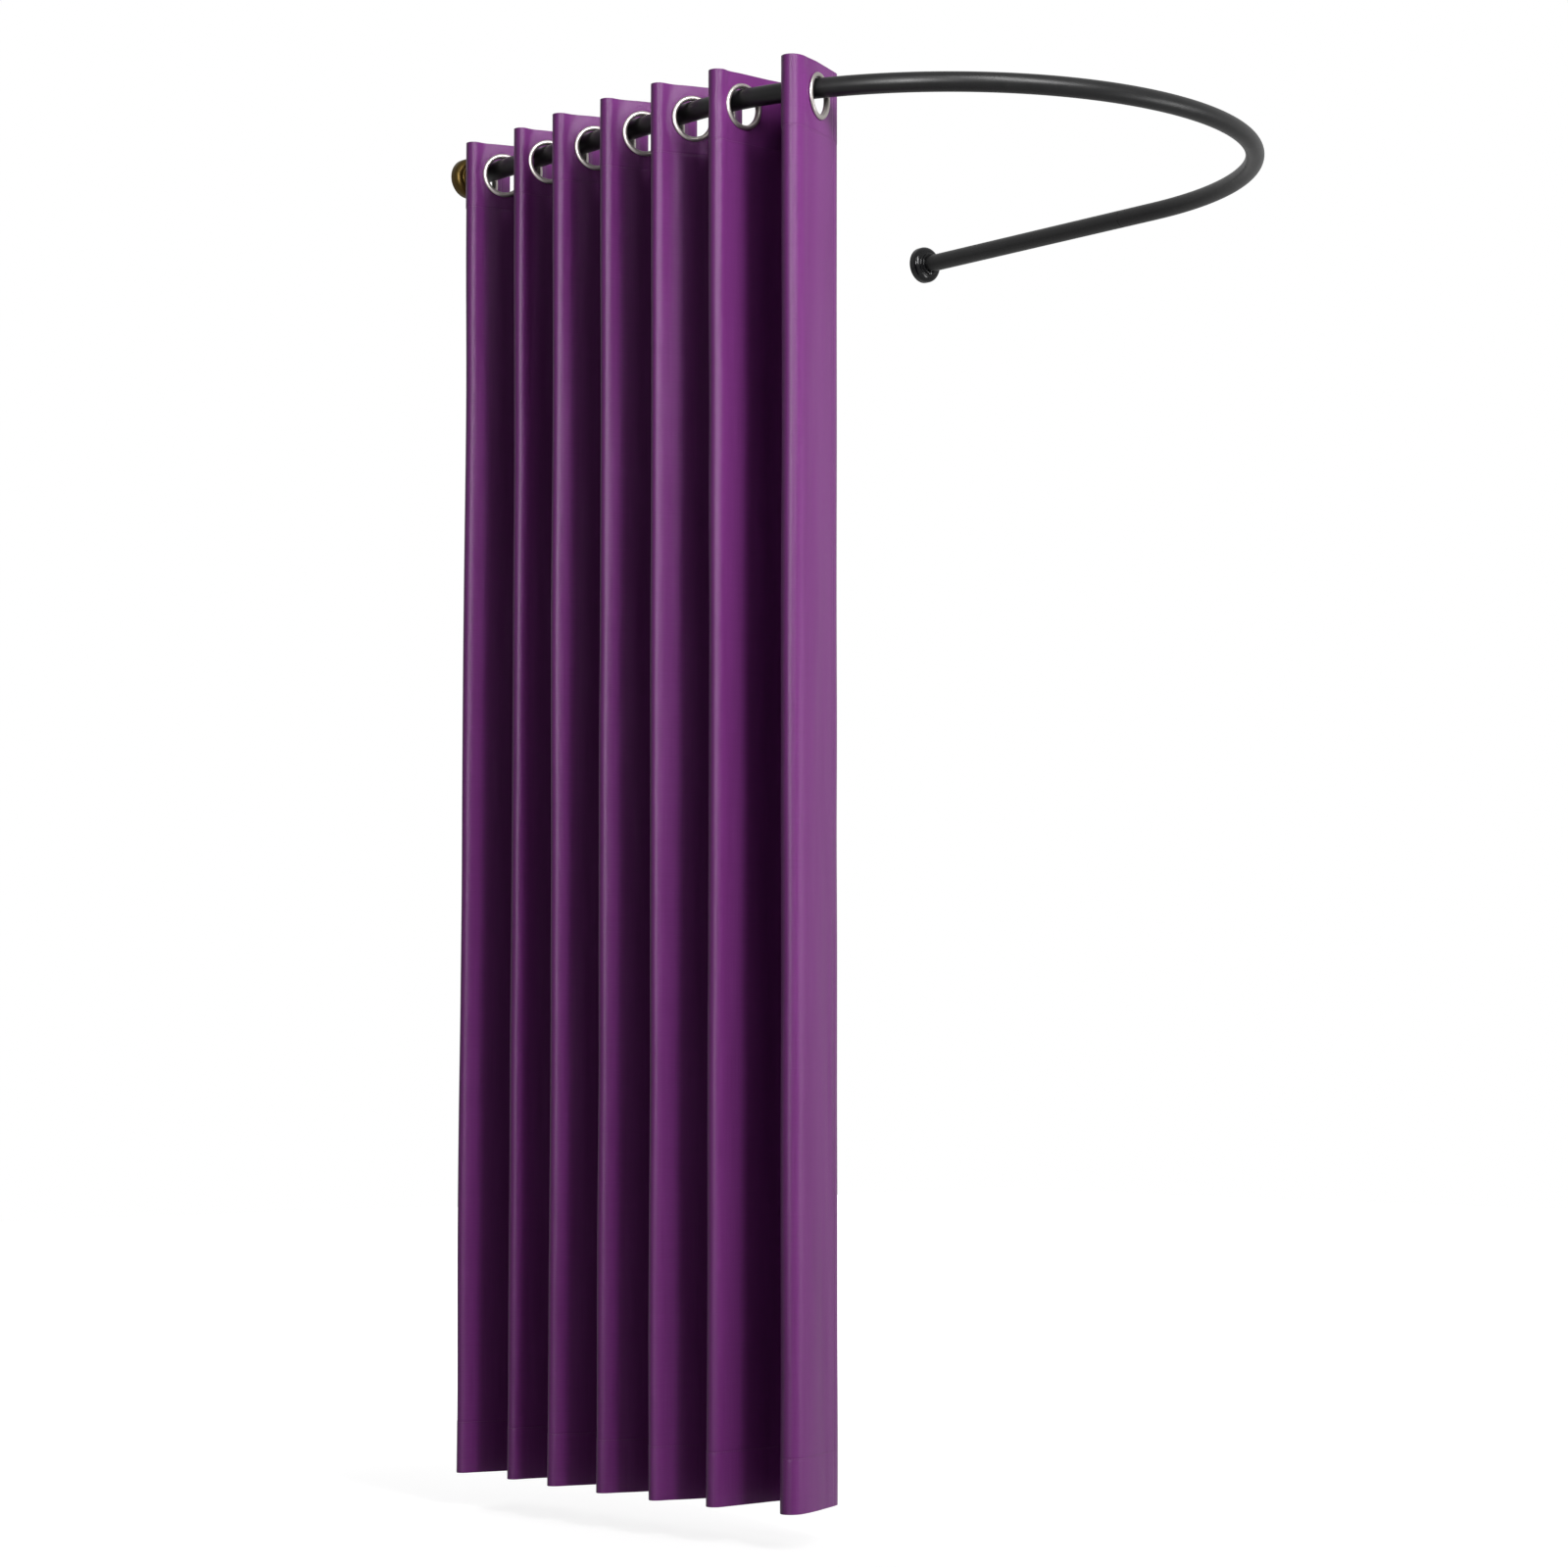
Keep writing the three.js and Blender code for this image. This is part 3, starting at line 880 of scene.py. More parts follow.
@dataclass
class CurtainPlan:
    """Where the eyelets stand on the rail, and the line that the cloth follows between them."""

    first_ring: float = 0.0453
    ring_pitch: float = 0.0563
    outer_reach: float = 0.0393
    inner_reach: float = 0.0529
    bend_halves: tuple[float, ...] = (0.0517, 0.038, 0.0687, 0.0391)
    arm_leaf_shares: tuple[float, ...] = (0.185, 0.243)
    bend_leaf_shares: tuple[float, ...] = (0.295, 0.365, 0.41, 0.5)
    panel_count: int = 14
    arm_count: int = 10
    trail_margin: float = 0.070
    lead_margin: float = 0.060
    curl_radius: float = 0.014
    curl_turn: float = math.radians(50)
    curl_steps: int = 20
    turn_steps: int = 60
    step: float = 0.00025
    panels: list[Panel] = field(default_factory=list)
    points: np.ndarray = field(default_factory=lambda: np.zeros(0, complex))
    ring_marks: list[float] = field(default_factory=list)
    fold_lines: list[complex] = field(default_factory=list)
    bend_spans: list[tuple[float, float]] = field(default_factory=list)

    @property
    def lean(self) -> float:
        """The angle between the rail and the line from an eyelet to its fold line."""
        return math.atan2(self.outer_reach + self.inner_reach, self.ring_pitch)

    def half(self, fold: int) -> float:
        """How far a fold line stands from the eyelets on both sides of it.

        Args:
            fold: the fold's number, from 0 at the wall.

        Returns:
            The distance in metres.
        """
        past = fold + 1 - self.arm_count
        if past >= 0:
            return self.bend_halves[past]
        return (self.outer_reach, self.inner_reach)[fold % 2] / math.sin(self.lean)

    def leaf(self, fold: int) -> float:
        """The smaller radius that the cloth turns at round a fold line."""
        shares = (self.panels[fold].leaf_share, self.panels[fold + 1].leaf_share)
        return self.half(fold) * min(shares)

    def next_ring(self, fold: complex, half: float) -> complex:
        """The point of the rail's axis half a panel past a fold line.

        Args:
            fold: the fold line.
            half: how far it stands from the eyelets beside it.

        Returns:
            The next eyelet's centre.
        """
        straight = fold.imag - math.sqrt(max(half**2 - fold.real**2, 0.0))
        if straight >= -ARM_LENGTH:
            return complex(0.0, straight)
        away = complex(BEND_RADIUS, -ARM_LENGTH) - fold
        reach = abs(away)
        near = (reach**2 + half**2 - BEND_RADIUS**2) / (2 * reach)
        off = math.sqrt(half**2 - near**2)
        options = [fold + away / reach * complex(near, sign * off) for sign in (1, -1)]
        return min(options, key=lambda p: p.imag)

    def lay_out(self) -> None:
        """Works out the panels one after another from the wall."""
        ring = complex(0.0, -self.first_ring)
        along = -1j * cmath.exp(-1j * self.lean)
        for i in range(self.panel_count):
            side = -1 if i % 2 == 0 else 1
            past = i - self.arm_count
            share = self.bend_leaf_shares[past] if past >= 0 else self.arm_leaf_shares[i % 2]
            heading = along * cmath.exp(1j * side * math.asin(share))
            self.panels.append(Panel(ring, along, side, share, heading))
            if i + 1 < self.panel_count:
                half = self.half(i)
                fold = ring + along * half
                ring = self.next_ring(fold, half)
                along = (ring - fold) / half
                self.fold_lines.append(fold)

    def trace(self) -> None:
        """Follows the cloth from its tail edge to its leading edge in even short steps."""
        self.lay_out()
        first, last = self.panels[0], self.panels[-1]
        track = [first.ring - first.heading * self.trail_margin, first.ring]
        marks: list[tuple[str, int]] = [("ring", len(track) - 1)]
        for k, (here, there, fold) in enumerate(zip(self.panels, self.panels[1:], self.fold_lines)):
            half = self.half(k)
            leave = here.ring + here.heading * half * math.sqrt(1 - here.leaf_share**2)
            turn = (-here.side * cmath.phase(there.heading / here.heading)) % WHOLE_TURN
            spoke = (leave - fold) / abs(leave - fold)
            marks.append(("leave", len(track)))
            for j in range(self.turn_steps + 1):
                share = j / self.turn_steps
                radius = half * (here.leaf_share + (there.leaf_share - here.leaf_share) * smooth(share))
                track.append(fold + spoke * radius * cmath.exp(-1j * here.side * turn * share))
            marks.append(("meet", len(track) - 1))
            track.append(there.ring)
            marks.append(("ring", len(track) - 1))
        edge = last.ring + last.heading * self.lead_margin
        track.append(edge)
        centre = edge + last.heading * (1j * last.side) * self.curl_radius
        for j in range(1, self.curl_steps + 1):
            turn = last.side * self.curl_turn * j / self.curl_steps
            track.append(centre + (edge - centre) * cmath.exp(1j * turn))
        line = np.array(track)
        run = np.concatenate([[0.0], np.cumsum(abs(np.diff(line)))])
        count = int(round(run[-1] / self.step)) + 1
        even = np.linspace(0.0, run[-1], count)
        self.points = np.interp(even, run, line.real) + 1j * np.interp(even, run, line.imag)
        found: dict[str, list[float]] = {"ring": [], "leave": [], "meet": []}
        for kind, at in marks:
            found[kind].append(float(run[at]))
        self.ring_marks = found["ring"]
        self.bend_spans = list(zip(found["leave"], found["meet"]))

    @property
    def width(self) -> float:
        """The cloth's flat width."""
        return (len(self.points) - 1) * self.step

    @property
    def places(self) -> np.ndarray:
        """How far across the cloth each traced point is."""
        return np.linspace(0.0, self.width, len(self.points))


@dataclass
class Eyelet:
    """A two-part metal eyelet: the front half with its barrel, and the clamped back half."""

    shop: Workshop
    number: int
    panel: Panel
    sides: int = 80

    @property
    def place(self) -> Matrix:
        """Stands the spun halves in the panel, facing its right side.

        Returns:
            The eyelet's place.
        """
        front = Vector((self.panel.front.real, self.panel.front.imag, 0.0))
        across = UP.cross(front)
        turn = Matrix((across, UP, front)).transposed().to_4x4()
        return Matrix.Translation((self.panel.ring.real, self.panel.ring.imag, -EYELET_DROP)) @ turn

    def front_profile(self) -> Points:
        """The section of the front half: rolled crown, seat and barrel.

        Returns:
            Its (radius, height) points in metres.
        """
        crown = [(26.0, 1.2), (26.05, 2.4), (26.4, 3.3), (27.0, 4.0), (27.9, 4.5), (29.2, 4.7),
                 (30.4, 4.55), (31.5, 4.1), (32.4, 3.3), (32.9, 2.5), (33.0, 1.8), (32.8, 1.3),
                 (32.3, 1.15)]
        barrel = [(28.3, 1.15), (27.6, 0.9), (27.5, 0.4), (27.5, -3.2), (27.25, -3.6), (26.35, -3.6),
                  (26.0, -3.2)]
        return [(r * MM, h * MM) for r, h in crown + barrel]

    def back_profile(self) -> Points:
        """The section of the back half: a shallow dished ring."""
        ring = [(27.8, -1.5), (28.1, -1.2), (32.4, -1.15), (32.85, -1.4), (33.0, -1.9), (32.8, -2.6),
                (32.2, -3.2), (31.2, -3.7), (29.9, -3.9), (28.5, -3.85), (27.95, -3.5), (27.8, -3.0)]
        return [(r * MM, h * MM) for r, h in ring]

    def build(self) -> list[bpy.types.Object]:
        """Builds both halves.

        Returns:
            The two pieces.
        """
        body = f"fold_{self.number:02d}"
        halves = {"front": self.front_profile(), "back": self.back_profile()}
        return [
            self.shop.piece(
                f"eyelet_{half}_{self.number:02d}_spun", turned(profile, self.place, self.sides),
                Slot.NICKEL, [f"eyelet_{half}_{self.number:02d}"], body, sharp=None,
            )
            for half, profile in halves.items()
        ]


@dataclass
class Curtain:
    """The hanging cloth: one curved sheet with a stiff header and sewn hems, split at the eyelets."""

    shop: Workshop
    plan: CurtainPlan
    top: float = 0.036
    drop: float = 1.980
    header: float = 0.100
    bottom_hem: float = 0.075
    side_hem: float = 0.025
    cloth_thick: float = 0.0009
    rounding: float = 0.36
    rim_angle: float = 1.0
    broad_from: float = 0.8
    hem_thick: float = 0.0015
    header_thick: float = 0.0021
    hole: float = 0.0288
    split_beyond: float = 0.002
    stitch_in: float = 0.0015
    hem_ease: float = 0.002
    bend_near: float = 0.009
    slack_from: float = 0.055
    slack_by: float = 0.42
    held_below: float = 0.037
    crisp: float = 0.0018
    soft: float = 0.0065
    swing_limits: tuple[float, float] = (0.9, 1.4)
    halvings: int = 30
    blend_share: float = 0.9
    wander: float = 0.0022
    wander_pace: float = 1.7
    wander_layers: tuple[float, float] = (11.0, 22.0)
    fold_apart: float = 3.1
    ripple_waves: tuple[tuple[float, float, float, float], ...] = (
        (0.00075, 38.0, 3.4, 5.0), (0.00030, 95.0, 6.0, 9.0),
    )
    ripple_skip: int = 40
    outer_pull: tuple[float, ...] = (0.0030, 0.0060, -0.0030, -0.0028, -0.0008, 0.0020, -0.0040)
    outer_slide: tuple[float, ...] = (0.0015, 0.0050, -0.0020, -0.0020, -0.0008, 0.0010, -0.0020)
    foot_flare: tuple[float, ...] = (0.0075, 0.0035, 0.001, 0.0005, 0.0025, 0.0035, 0.0065)
    inner_flare: float = 0.0025
    nose: float = 0.0042
    nose_reach: float = 0.017
    nose_loss: float = 0.5
    held_near: float = 0.034
    held_far: float = 0.052
    seed: int = 7
    fine: float = 0.0015
    coarse: float = 0.0030
    row_bands: tuple[tuple[float, float, float], ...] = (
        (0.0, 0.090, 0.003), (0.090, 0.112, 0.0022), (0.112, 0.30, 0.010), (0.30, 1.895, 0.0145),
        (1.895, 1.917, 0.0022), (1.917, 1.968, 0.0085), (1.968, 1.980, 0.004),
    )
    depths: np.ndarray = field(default_factory=lambda: np.zeros(0))
    lines: np.ndarray = field(default_factory=lambda: np.zeros((0, 0), complex))

    def blurred(self, line: np.ndarray, spread: float) -> np.ndarray:
        """Softens a line.

        Args:
            line: its points.
            spread: the reach of the softening, in metres.

        Returns:
            The softened points.
        """
        sigma = spread / self.plan.step
        reach = int(4 * sigma)
        weights = np.exp(-0.5 * (np.arange(-reach, reach + 1) / sigma) ** 2)
        head = 2 * line[0] - line[reach:0:-1]
        tail = 2 * line[-1] - line[-2 : -reach - 2 : -1]
        return np.convolve(np.concatenate([head, line, tail]), weights / weights.sum(), "valid")

    def relaxed(self) -> np.ndarray:
        """The line of the cloth below the eyelets, rounder than at the top and just as long.

        Returns:
            A place in plan for each traced point.
        """
        plan = self.plan
        rings = np.array([p.ring for p in plan.panels])
        marks = np.array(plan.ring_marks)
        spans = [0.0, *marks, plan.width]
        first = rings[0] + (rings[0] - rings[1]) * (marks[0] / (marks[1] - marks[0]))
        last = rings[-1] + (rings[-1] - rings[-2]) * ((plan.width - marks[-1]) / (marks[-1] - marks[-2]))
        stops = np.array([first, *rings, last])
        base = np.interp(plan.places, spans, stops.real) + 1j * np.interp(plan.places, spans, stops.imag)
        swing = self.blurred(plan.points - base, self.soft)
        base = self.blurred(base, self.soft)
        low, high = self.swing_limits
        for _ in range(self.halvings):
            middle = (low + high) / 2
            longer = abs(np.diff(base + swing * middle)).sum() > plan.width
            low, high = (low, middle) if longer else (middle, high)
        return base + swing * low

    def sway(self, down: float) -> np.ndarray:
        """How far each traced point has wandered in plan at a depth.

        Args:
            down: the depth below the top edge.

        Returns:
            The shifts, one complex number for each point.
        """
        plan = self.plan
        loose = self.looseness(down)
        fall = max(down - self.slack_from, 0.0) / self.drop
        shift = np.zeros(len(plan.places), complex)
        for k, fold in enumerate(plan.fold_lines):
            start, end = plan.ring_marks[k], plan.ring_marks[k + 1]
            onward = plan.panels[k + 1].ring - plan.panels[k].ring
            middle = (plan.panels[k].ring + plan.panels[k + 1].ring) / 2
            outward = (fold - middle) / abs(fold - middle)
            onward /= abs(onward)
            out, on = self.inner_flare * fall, 0.0
            if k % 2 == 0:
                out = self.foot_flare[k // 2] * fall - self.outer_pull[k // 2]
                on = self.outer_slide[k // 2]
            wander = [
                noise.noise(Vector((self.seed + self.fold_apart * k, self.wander_pace * down, layer)))
                for layer in self.wander_layers
            ]
            inside = (plan.places > start) & (plan.places < end)
            hump = np.where(inside, np.sin(np.pi * (plan.places - start) / (end - start)) ** 2, 0.0)
            out += self.wander * loose * wander[0]
            on += self.wander * loose * wander[1]
            shift += hump * (outward * out + onward * on)
        return shift

    def noses(self, down: float) -> np.ndarray:
        """How far the cloth stands out round each fold beyond a plain turn, and in again beside it.

        Args:
            down: the depth below the top edge.

        Returns:
            The shift of each traced point towards its right side.
        """
        plan = self.plan
        places = plan.places
        above = down - self.top - EYELET_DROP
        clear = np.min([np.hypot(places - mark, above) for mark in plan.ring_marks], axis=0)
        free = np.clip((clear - self.held_near) / (self.held_far - self.held_near), 0.0, 1.0)
        shift = np.zeros(len(places))
        for k, (low, high) in enumerate(plan.bend_spans):
            off = (places - (low + high) / 2) / self.nose_reach
            shift += plan.panels[k].side * (off**2 - 1) * np.exp(-(off**2) / 2)
        return shift * smooth(free) * self.nose * (1 - self.nose_loss * self.looseness(down))

    def looseness(self, down: float) -> float:
        """0 where the eyelets hold the cloth flat, 1 where it hangs free."""
        below = down - self.top - EYELET_DROP - self.held_below
        return smooth(min(max(below / self.slack_by, 0.0), 1.0))

    def rows(self) -> np.ndarray:
        """The depths of the mesh's rows, close where there is detail.

        Returns:
            The depths in metres from the top edge down.
        """
        parts = []
        for a, b, step in self.row_bands:
            parts.append(np.linspace(a, b, max(int(round((b - a) / step)), 1), endpoint=False))
        return np.append(np.concatenate(parts), self.drop)

    def columns(self, start: float, end: float) -> np.ndarray:
        """The places of the mesh's columns, close at the folds.

        Args:
            start: the first place across the cloth.
            end: the last one.

        Returns:
            The places from start to end.
        """
        near, beside = self.bend_near, self.stitch_in
        stops = [start]
        for low, high in self.plan.bend_spans:
            stops += [s for s in (low - near, high + near) if start < s < end]
        hems = (self.side_hem, self.plan.width - self.side_hem)
        stops += [h + d for h in hems for d in (-beside, beside) if start < h + d < end]
        stops = sorted({*stops, end})
        parts = []
        for a, b in zip(stops, stops[1:]):
            middle = (a + b) / 2
            bent = any(low - near < middle < high + near for low, high in self.plan.bend_spans)
            curled = middle > self.plan.width - self.plan.curl_radius
            count = max(int(math.ceil((b - a) / (self.fine if bent or curled else self.coarse))), 1)
            parts.append(np.linspace(a, b, count, endpoint=False))
        return np.append(np.concatenate(parts), end)

    def thickness(self, across: np.ndarray, down: np.ndarray) -> np.ndarray:
        """How thick the cloth is where it is doubled for a header or hem.

        Args:
            across: places across the cloth.
            down: depths below the top edge.

        Returns:
            The thickness at each.
        """
        def doubled(value: np.ndarray, edge: float) -> np.ndarray:
            """1 before a hem's edge and 0 past it."""
            return smooth(np.clip((edge - value) / self.hem_ease + 0.5, 0, 1))

        side = np.maximum(doubled(across, self.side_hem), doubled(self.plan.width - across, self.side_hem))
        foot = doubled(self.drop - down, self.bottom_hem)
        hem = np.maximum(side, foot) * (self.hem_thick - self.cloth_thick)
        head = doubled(down, self.header) * (self.header_thick - self.cloth_thick)
        return self.cloth_thick + np.maximum(hem, head)

    def ripple(self, depth: float) -> np.ndarray:
        """Small uneven waves across the cloth.

        Args:
            depth: the depth below the top edge.

        Returns:
            The shift of each traced point towards its right side.
        """
        coarse = self.plan.places[:: self.ripple_skip]
        waves = [
            sum(
                height * noise.noise(Vector((wide * place, tall * depth, layer)))
                for height, wide, tall, layer in self.ripple_waves
            )
            for place in coarse
        ]
        return np.interp(self.plan.places, coarse, waves)

    def hang(self) -> None:
        """Works out the cloth's line in plan at every row."""
        self.depths = self.rows()
        crisp = self.blurred(self.plan.points, self.crisp)
        loose = self.relaxed()
        lines = []
        for depth in self.depths:
            share = self.looseness(depth)
            line = crisp + (loose - crisp) * share + self.sway(depth)
            slope = np.gradient(line)
            lines.append(line - 1j * slope / abs(slope) * (self.ripple(depth) * share + self.noses(depth)))
        self.lines = np.array(lines)

    def surface(self, across: np.ndarray) -> tuple[np.ndarray, np.ndarray]:
        """The cloth's middle surface.

        Args:
            across: the columns' places.

        Returns:
            Points and unit normals of its right side, each rows by columns by 3.
        """
        points = np.zeros((len(self.depths), len(across), 3))
        for j, line in enumerate(self.lines):
            points[j, :, 0] = np.interp(across, self.plan.places, line.real)
            points[j, :, 1] = np.interp(across, self.plan.places, line.imag)
            points[j, :, 2] = self.top - self.depths[j]
        over = np.gradient(points, across, axis=1)
        under = np.gradient(points, self.depths, axis=0)
        normals = np.cross(under, over)
        normals /= np.linalg.norm(normals, axis=2, keepdims=True)
        return points, normals

    def sheet(self, name: str, start: float, end: float, rings: Sequence[float]) -> bpy.types.Object:
        """Builds one stretch of the cloth as a thin closed sheet.

        Args:
            name: the piece's name.
            start: where it begins across the cloth.
            end: where it ends.
            rings: the eyelets' places that fall on its edges.

        Returns:
            The piece, with a map named cloth that holds its flat place in metres.
        """
        across, down = self.columns(start, end), self.depths
        # A column more past each split, so that both of its sides get the same normals.
        first = 1 if start > 0 else 0
        before = [start - self.split_beyond] * first
        after = [end + self.split_beyond] if end < self.plan.width else []
        points, normals = self.surface(np.concatenate([before, across, after]))
        points = points[:, first : first + len(across)]
        normals = normals[:, first : first + len(across)]
        bm = bmesh.new()
        bmesh.ops.create_grid(bm, x_segments=len(across) - 1, y_segments=len(down) - 1, size=0.5)
        flat = bm.verts.layers.float_vector.new("flat")
        facing = bm.verts.layers.float_vector.new("facing")
        for vert in bm.verts:
            i = round((vert.co.x + 0.5) * (len(across) - 1))
            j = round((vert.co.y + 0.5) * (len(down) - 1))
            vert[flat] = (across[i], down[j], 0.0)
            vert[facing] = normals[j, i]
            vert.co = points[j, i]
        centre = self.top + EYELET_DROP
        for ring in rings:
            self.punch(bm, flat, ring, centre)
        self.thicken(bm, flat, facing)
        self.round_edges(bm, flat)
        made = self.shop.piece(name, bm, Slot.CURTAIN, sharp=None)
        self.finish_mesh(made.data)
        return made

    def punch(self, bm: bmesh.types.BMesh, flat: Any, ring: float, centre: float) -> None:
        """Cuts an eyelet's hole and rounds its edge.

        Args:
            bm: the flat-mapped sheet.
            flat: the layer of flat places.
            ring: the hole's place across the cloth.
            centre: its depth.
        """
        def offset(place: Vector) -> Vector:
            """The flat way from the hole's centre to a place."""
            return Vector((place.x - ring, place.y - centre))

        def middle(face: bmesh.types.BMFace) -> Vector:
            """The flat way from the hole's centre to a face's middle."""
            return sum((offset(v[flat]) for v in face.verts), Vector((0, 0))) / len(face.verts)

        near = [f for f in bm.faces if all(offset(v[flat]).length < 2 * self.hole for v in f.verts)]
        inside = {f for f in near if middle(f).length < self.hole}
        edge = {v for f in inside for v in f.verts if any(g not in inside for g in v.link_faces)}
        bmesh.ops.delete(bm, geom=list(inside), context="FACES")
        sample = [v for f in near if f.is_valid for v in f.verts]
        for vert in (v for v in edge if v.is_valid):
            away = offset(vert[flat])
            target = away * (self.hole / away.length)
            other = max(sample, key=lambda v: abs(v[flat].x - vert[flat].x))
            run = (other.co - vert.co) / (other[flat].x - vert[flat].x)
            run.z = 0.0
            shift = target - away
            vert.co += run * shift.x - UP * shift.y
            vert[flat] = (ring + target.x, centre + target.y, 0.0)

    def thicken(self, bm: bmesh.types.BMesh, flat: Any, facing: Any) -> None:
        """Gives the sheet its two faces and the rims between them.

        Args:
            bm: the flat-mapped sheet.
            flat: the layer of flat places.
            facing: the layer of the ways that the vertices face.
        """
        fronts = list(bm.verts)
        copied = bmesh.ops.extrude_face_region(bm, geom=list(bm.faces), use_keep_orig=True)["geom"]
        backs = [g for g in copied if isinstance(g, bmesh.types.BMVert)]
        for verts, sign in ((fronts, 0.5), (backs, -0.5)):
            places = np.array([v[flat] for v in verts])
            for vert, thick in zip(verts, self.thickness(places[:, 0], places[:, 1])):
                vert.co += vert[facing] * float(thick) * sign
        bmesh.ops.recalc_face_normals(bm, faces=bm.faces)

    def round_edges(self, bm: bmesh.types.BMesh, flat: Any) -> None:
        """Rounds the cloth's own edges and leaves the splits at the eyelets alone.

        Args:
            bm: the thick sheet.
            flat: the layer of flat places.
        """
        limits = ((1, 0.0), (1, self.drop), (0, 0.0), (0, self.plan.width))

        def own(edge: bmesh.types.BMEdge) -> bool:
            """True for an edge that lies on the cloth's own outline."""
            return any(
                all(abs(v[flat][axis] - limit) < TOUCHING for v in edge.verts) for axis, limit in limits
            )

        rims = [e for e in bm.edges if own(e) and e.calc_face_angle(0) > self.rim_angle]
        bmesh.ops.bevel(
            bm, geom=rims, offset=self.cloth_thick * self.rounding, segments=2, profile=0.5,
            affect="EDGES", material=-1,
        )

    def finish_mesh(self, mesh: bpy.types.Mesh) -> None:
        """Writes the map of flat places and the cloth's own normals.

        Args:
            mesh: a sheet's mesh, whose vertices keep their flat place and the way they face.
        """
        def read(rows: Any, key: str, kind: type = np.float32) -> np.ndarray:
            """Reads a property of every row.

            Args:
                rows: a list of the mesh's elements.
                key: the property.
                kind: np.float32 for vectors, np.int32 for whole numbers.

            Returns:
                A row of three for each vector, or one number for each element.
            """
            width = 3 if kind is np.float32 else 1
            found = np.zeros(len(rows) * width, kind)
            rows.foreach_get(key, found)
            return found.reshape(-1, width) if width > 1 else found

        flat, facing = (read(mesh.attributes[name].data, "vector") for name in ("flat", "facing"))
        corners = read(mesh.loops, "vertex_index", np.int32)
        uv = mesh.uv_layers.new(name="cloth")
        uv.data.foreach_set("uv", np.ascontiguousarray(flat[corners, :2]).ravel())
        own = read(mesh.corner_normals, "vector")
        totals = read(mesh.polygons, "loop_total", np.int32)
        of_face = np.repeat(read(mesh.polygons, "normal"), totals, axis=0)
        wanted = facing[corners]
        wanted /= np.maximum(np.linalg.norm(wanted, axis=1, keepdims=True), 1e-9)
        agree = (of_face * wanted).sum(1)
        broad = abs(agree) > self.broad_from
        own[broad] = wanted[broad] * np.sign(agree[broad])[:, None]
        mesh.normals_split_custom_set(own.tolist())
        for name in ("flat", "facing"):
            mesh.attributes.remove(mesh.attributes[name])

    def build(self, eyelets: Sequence[Sequence[bpy.types.Object]]) -> None:
        """Builds every stretch of the cloth, from the tail to the leading edge.

        Args:
            eyelets: the two pieces of each eyelet, in order; not used.
        """
        plan = self.plan
        marks = plan.ring_marks
        lines = (self.header - self.stitch_in, self.drop - self.bottom_hem + self.stitch_in)
        sides = (self.side_hem - self.stitch_in, plan.width - self.side_hem + self.stitch_in)
        self.shop.materials[Slot.CURTAIN] = CurtainFabric().build(lines, sides)
        self.hang()
        tail = self.sheet("cloth_tail", 0.0, marks[0], marks[:1])
        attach(tail, "fold_01")
        for k in range(plan.panel_count - 1):
            piece = self.sheet(f"cloth_{k + 1:02d}", marks[k], marks[k + 1], marks[k : k + 2])
            onward = plan.panels[k + 1].ring - plan.panels[k].ring
            onward *= self.blend_share * plan.leaf(k) / abs(onward)
            start, end = (plan.fold_lines[k] + sign * onward for sign in (-1, 1))
            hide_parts(f"curtain_panel_{k + 1:02d}")
            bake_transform(piece)
        lead = self.sheet("cloth_lead", marks[-1], plan.width, marks[-1:])
        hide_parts(f"curtain_panel_{plan.panel_count:02d}")
        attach(lead, f"fold_{plan.panel_count:02d}")
        log.info("curtain: %.3f m wide flat, %.3f m long", plan.width, self.drop)


# Studio


@dataclass(frozen=True)
class Softbox:
    """One soft lamp, placed by its direction from the point that it is aimed at."""

    name: str
    azimuth: float
    distance: float
    height: float
    size: tuple[float, float]
    power: float
    target: tuple[float, float, float] = (0.0, -0.45, -0.9)
    shines: bool = True
    lights: bool = True
    spread: float = 180.0

    def build(self) -> None:
        """Adds the lamp to the scene."""
        data = bpy.data.lights.new(self.name, "AREA")
        data.shape = "RECTANGLE"
        data.size, data.size_y = self.size
        data.energy = self.power
        data.spread = math.radians(self.spread)
        lamp = stand(self.name, data)
        turn = math.radians(self.azimuth)
        middle = Vector(self.target)
        level = middle + self.distance * Vector((math.cos(turn), math.sin(turn), 0.0))
        lamp.location = (level.x, level.y, self.height)
        lamp.rotation_euler = (lamp.location - middle).to_track_quat("Z", "Y").to_euler()
        lamp.visible_glossy, lamp.visible_diffuse = self.shines, self.lights


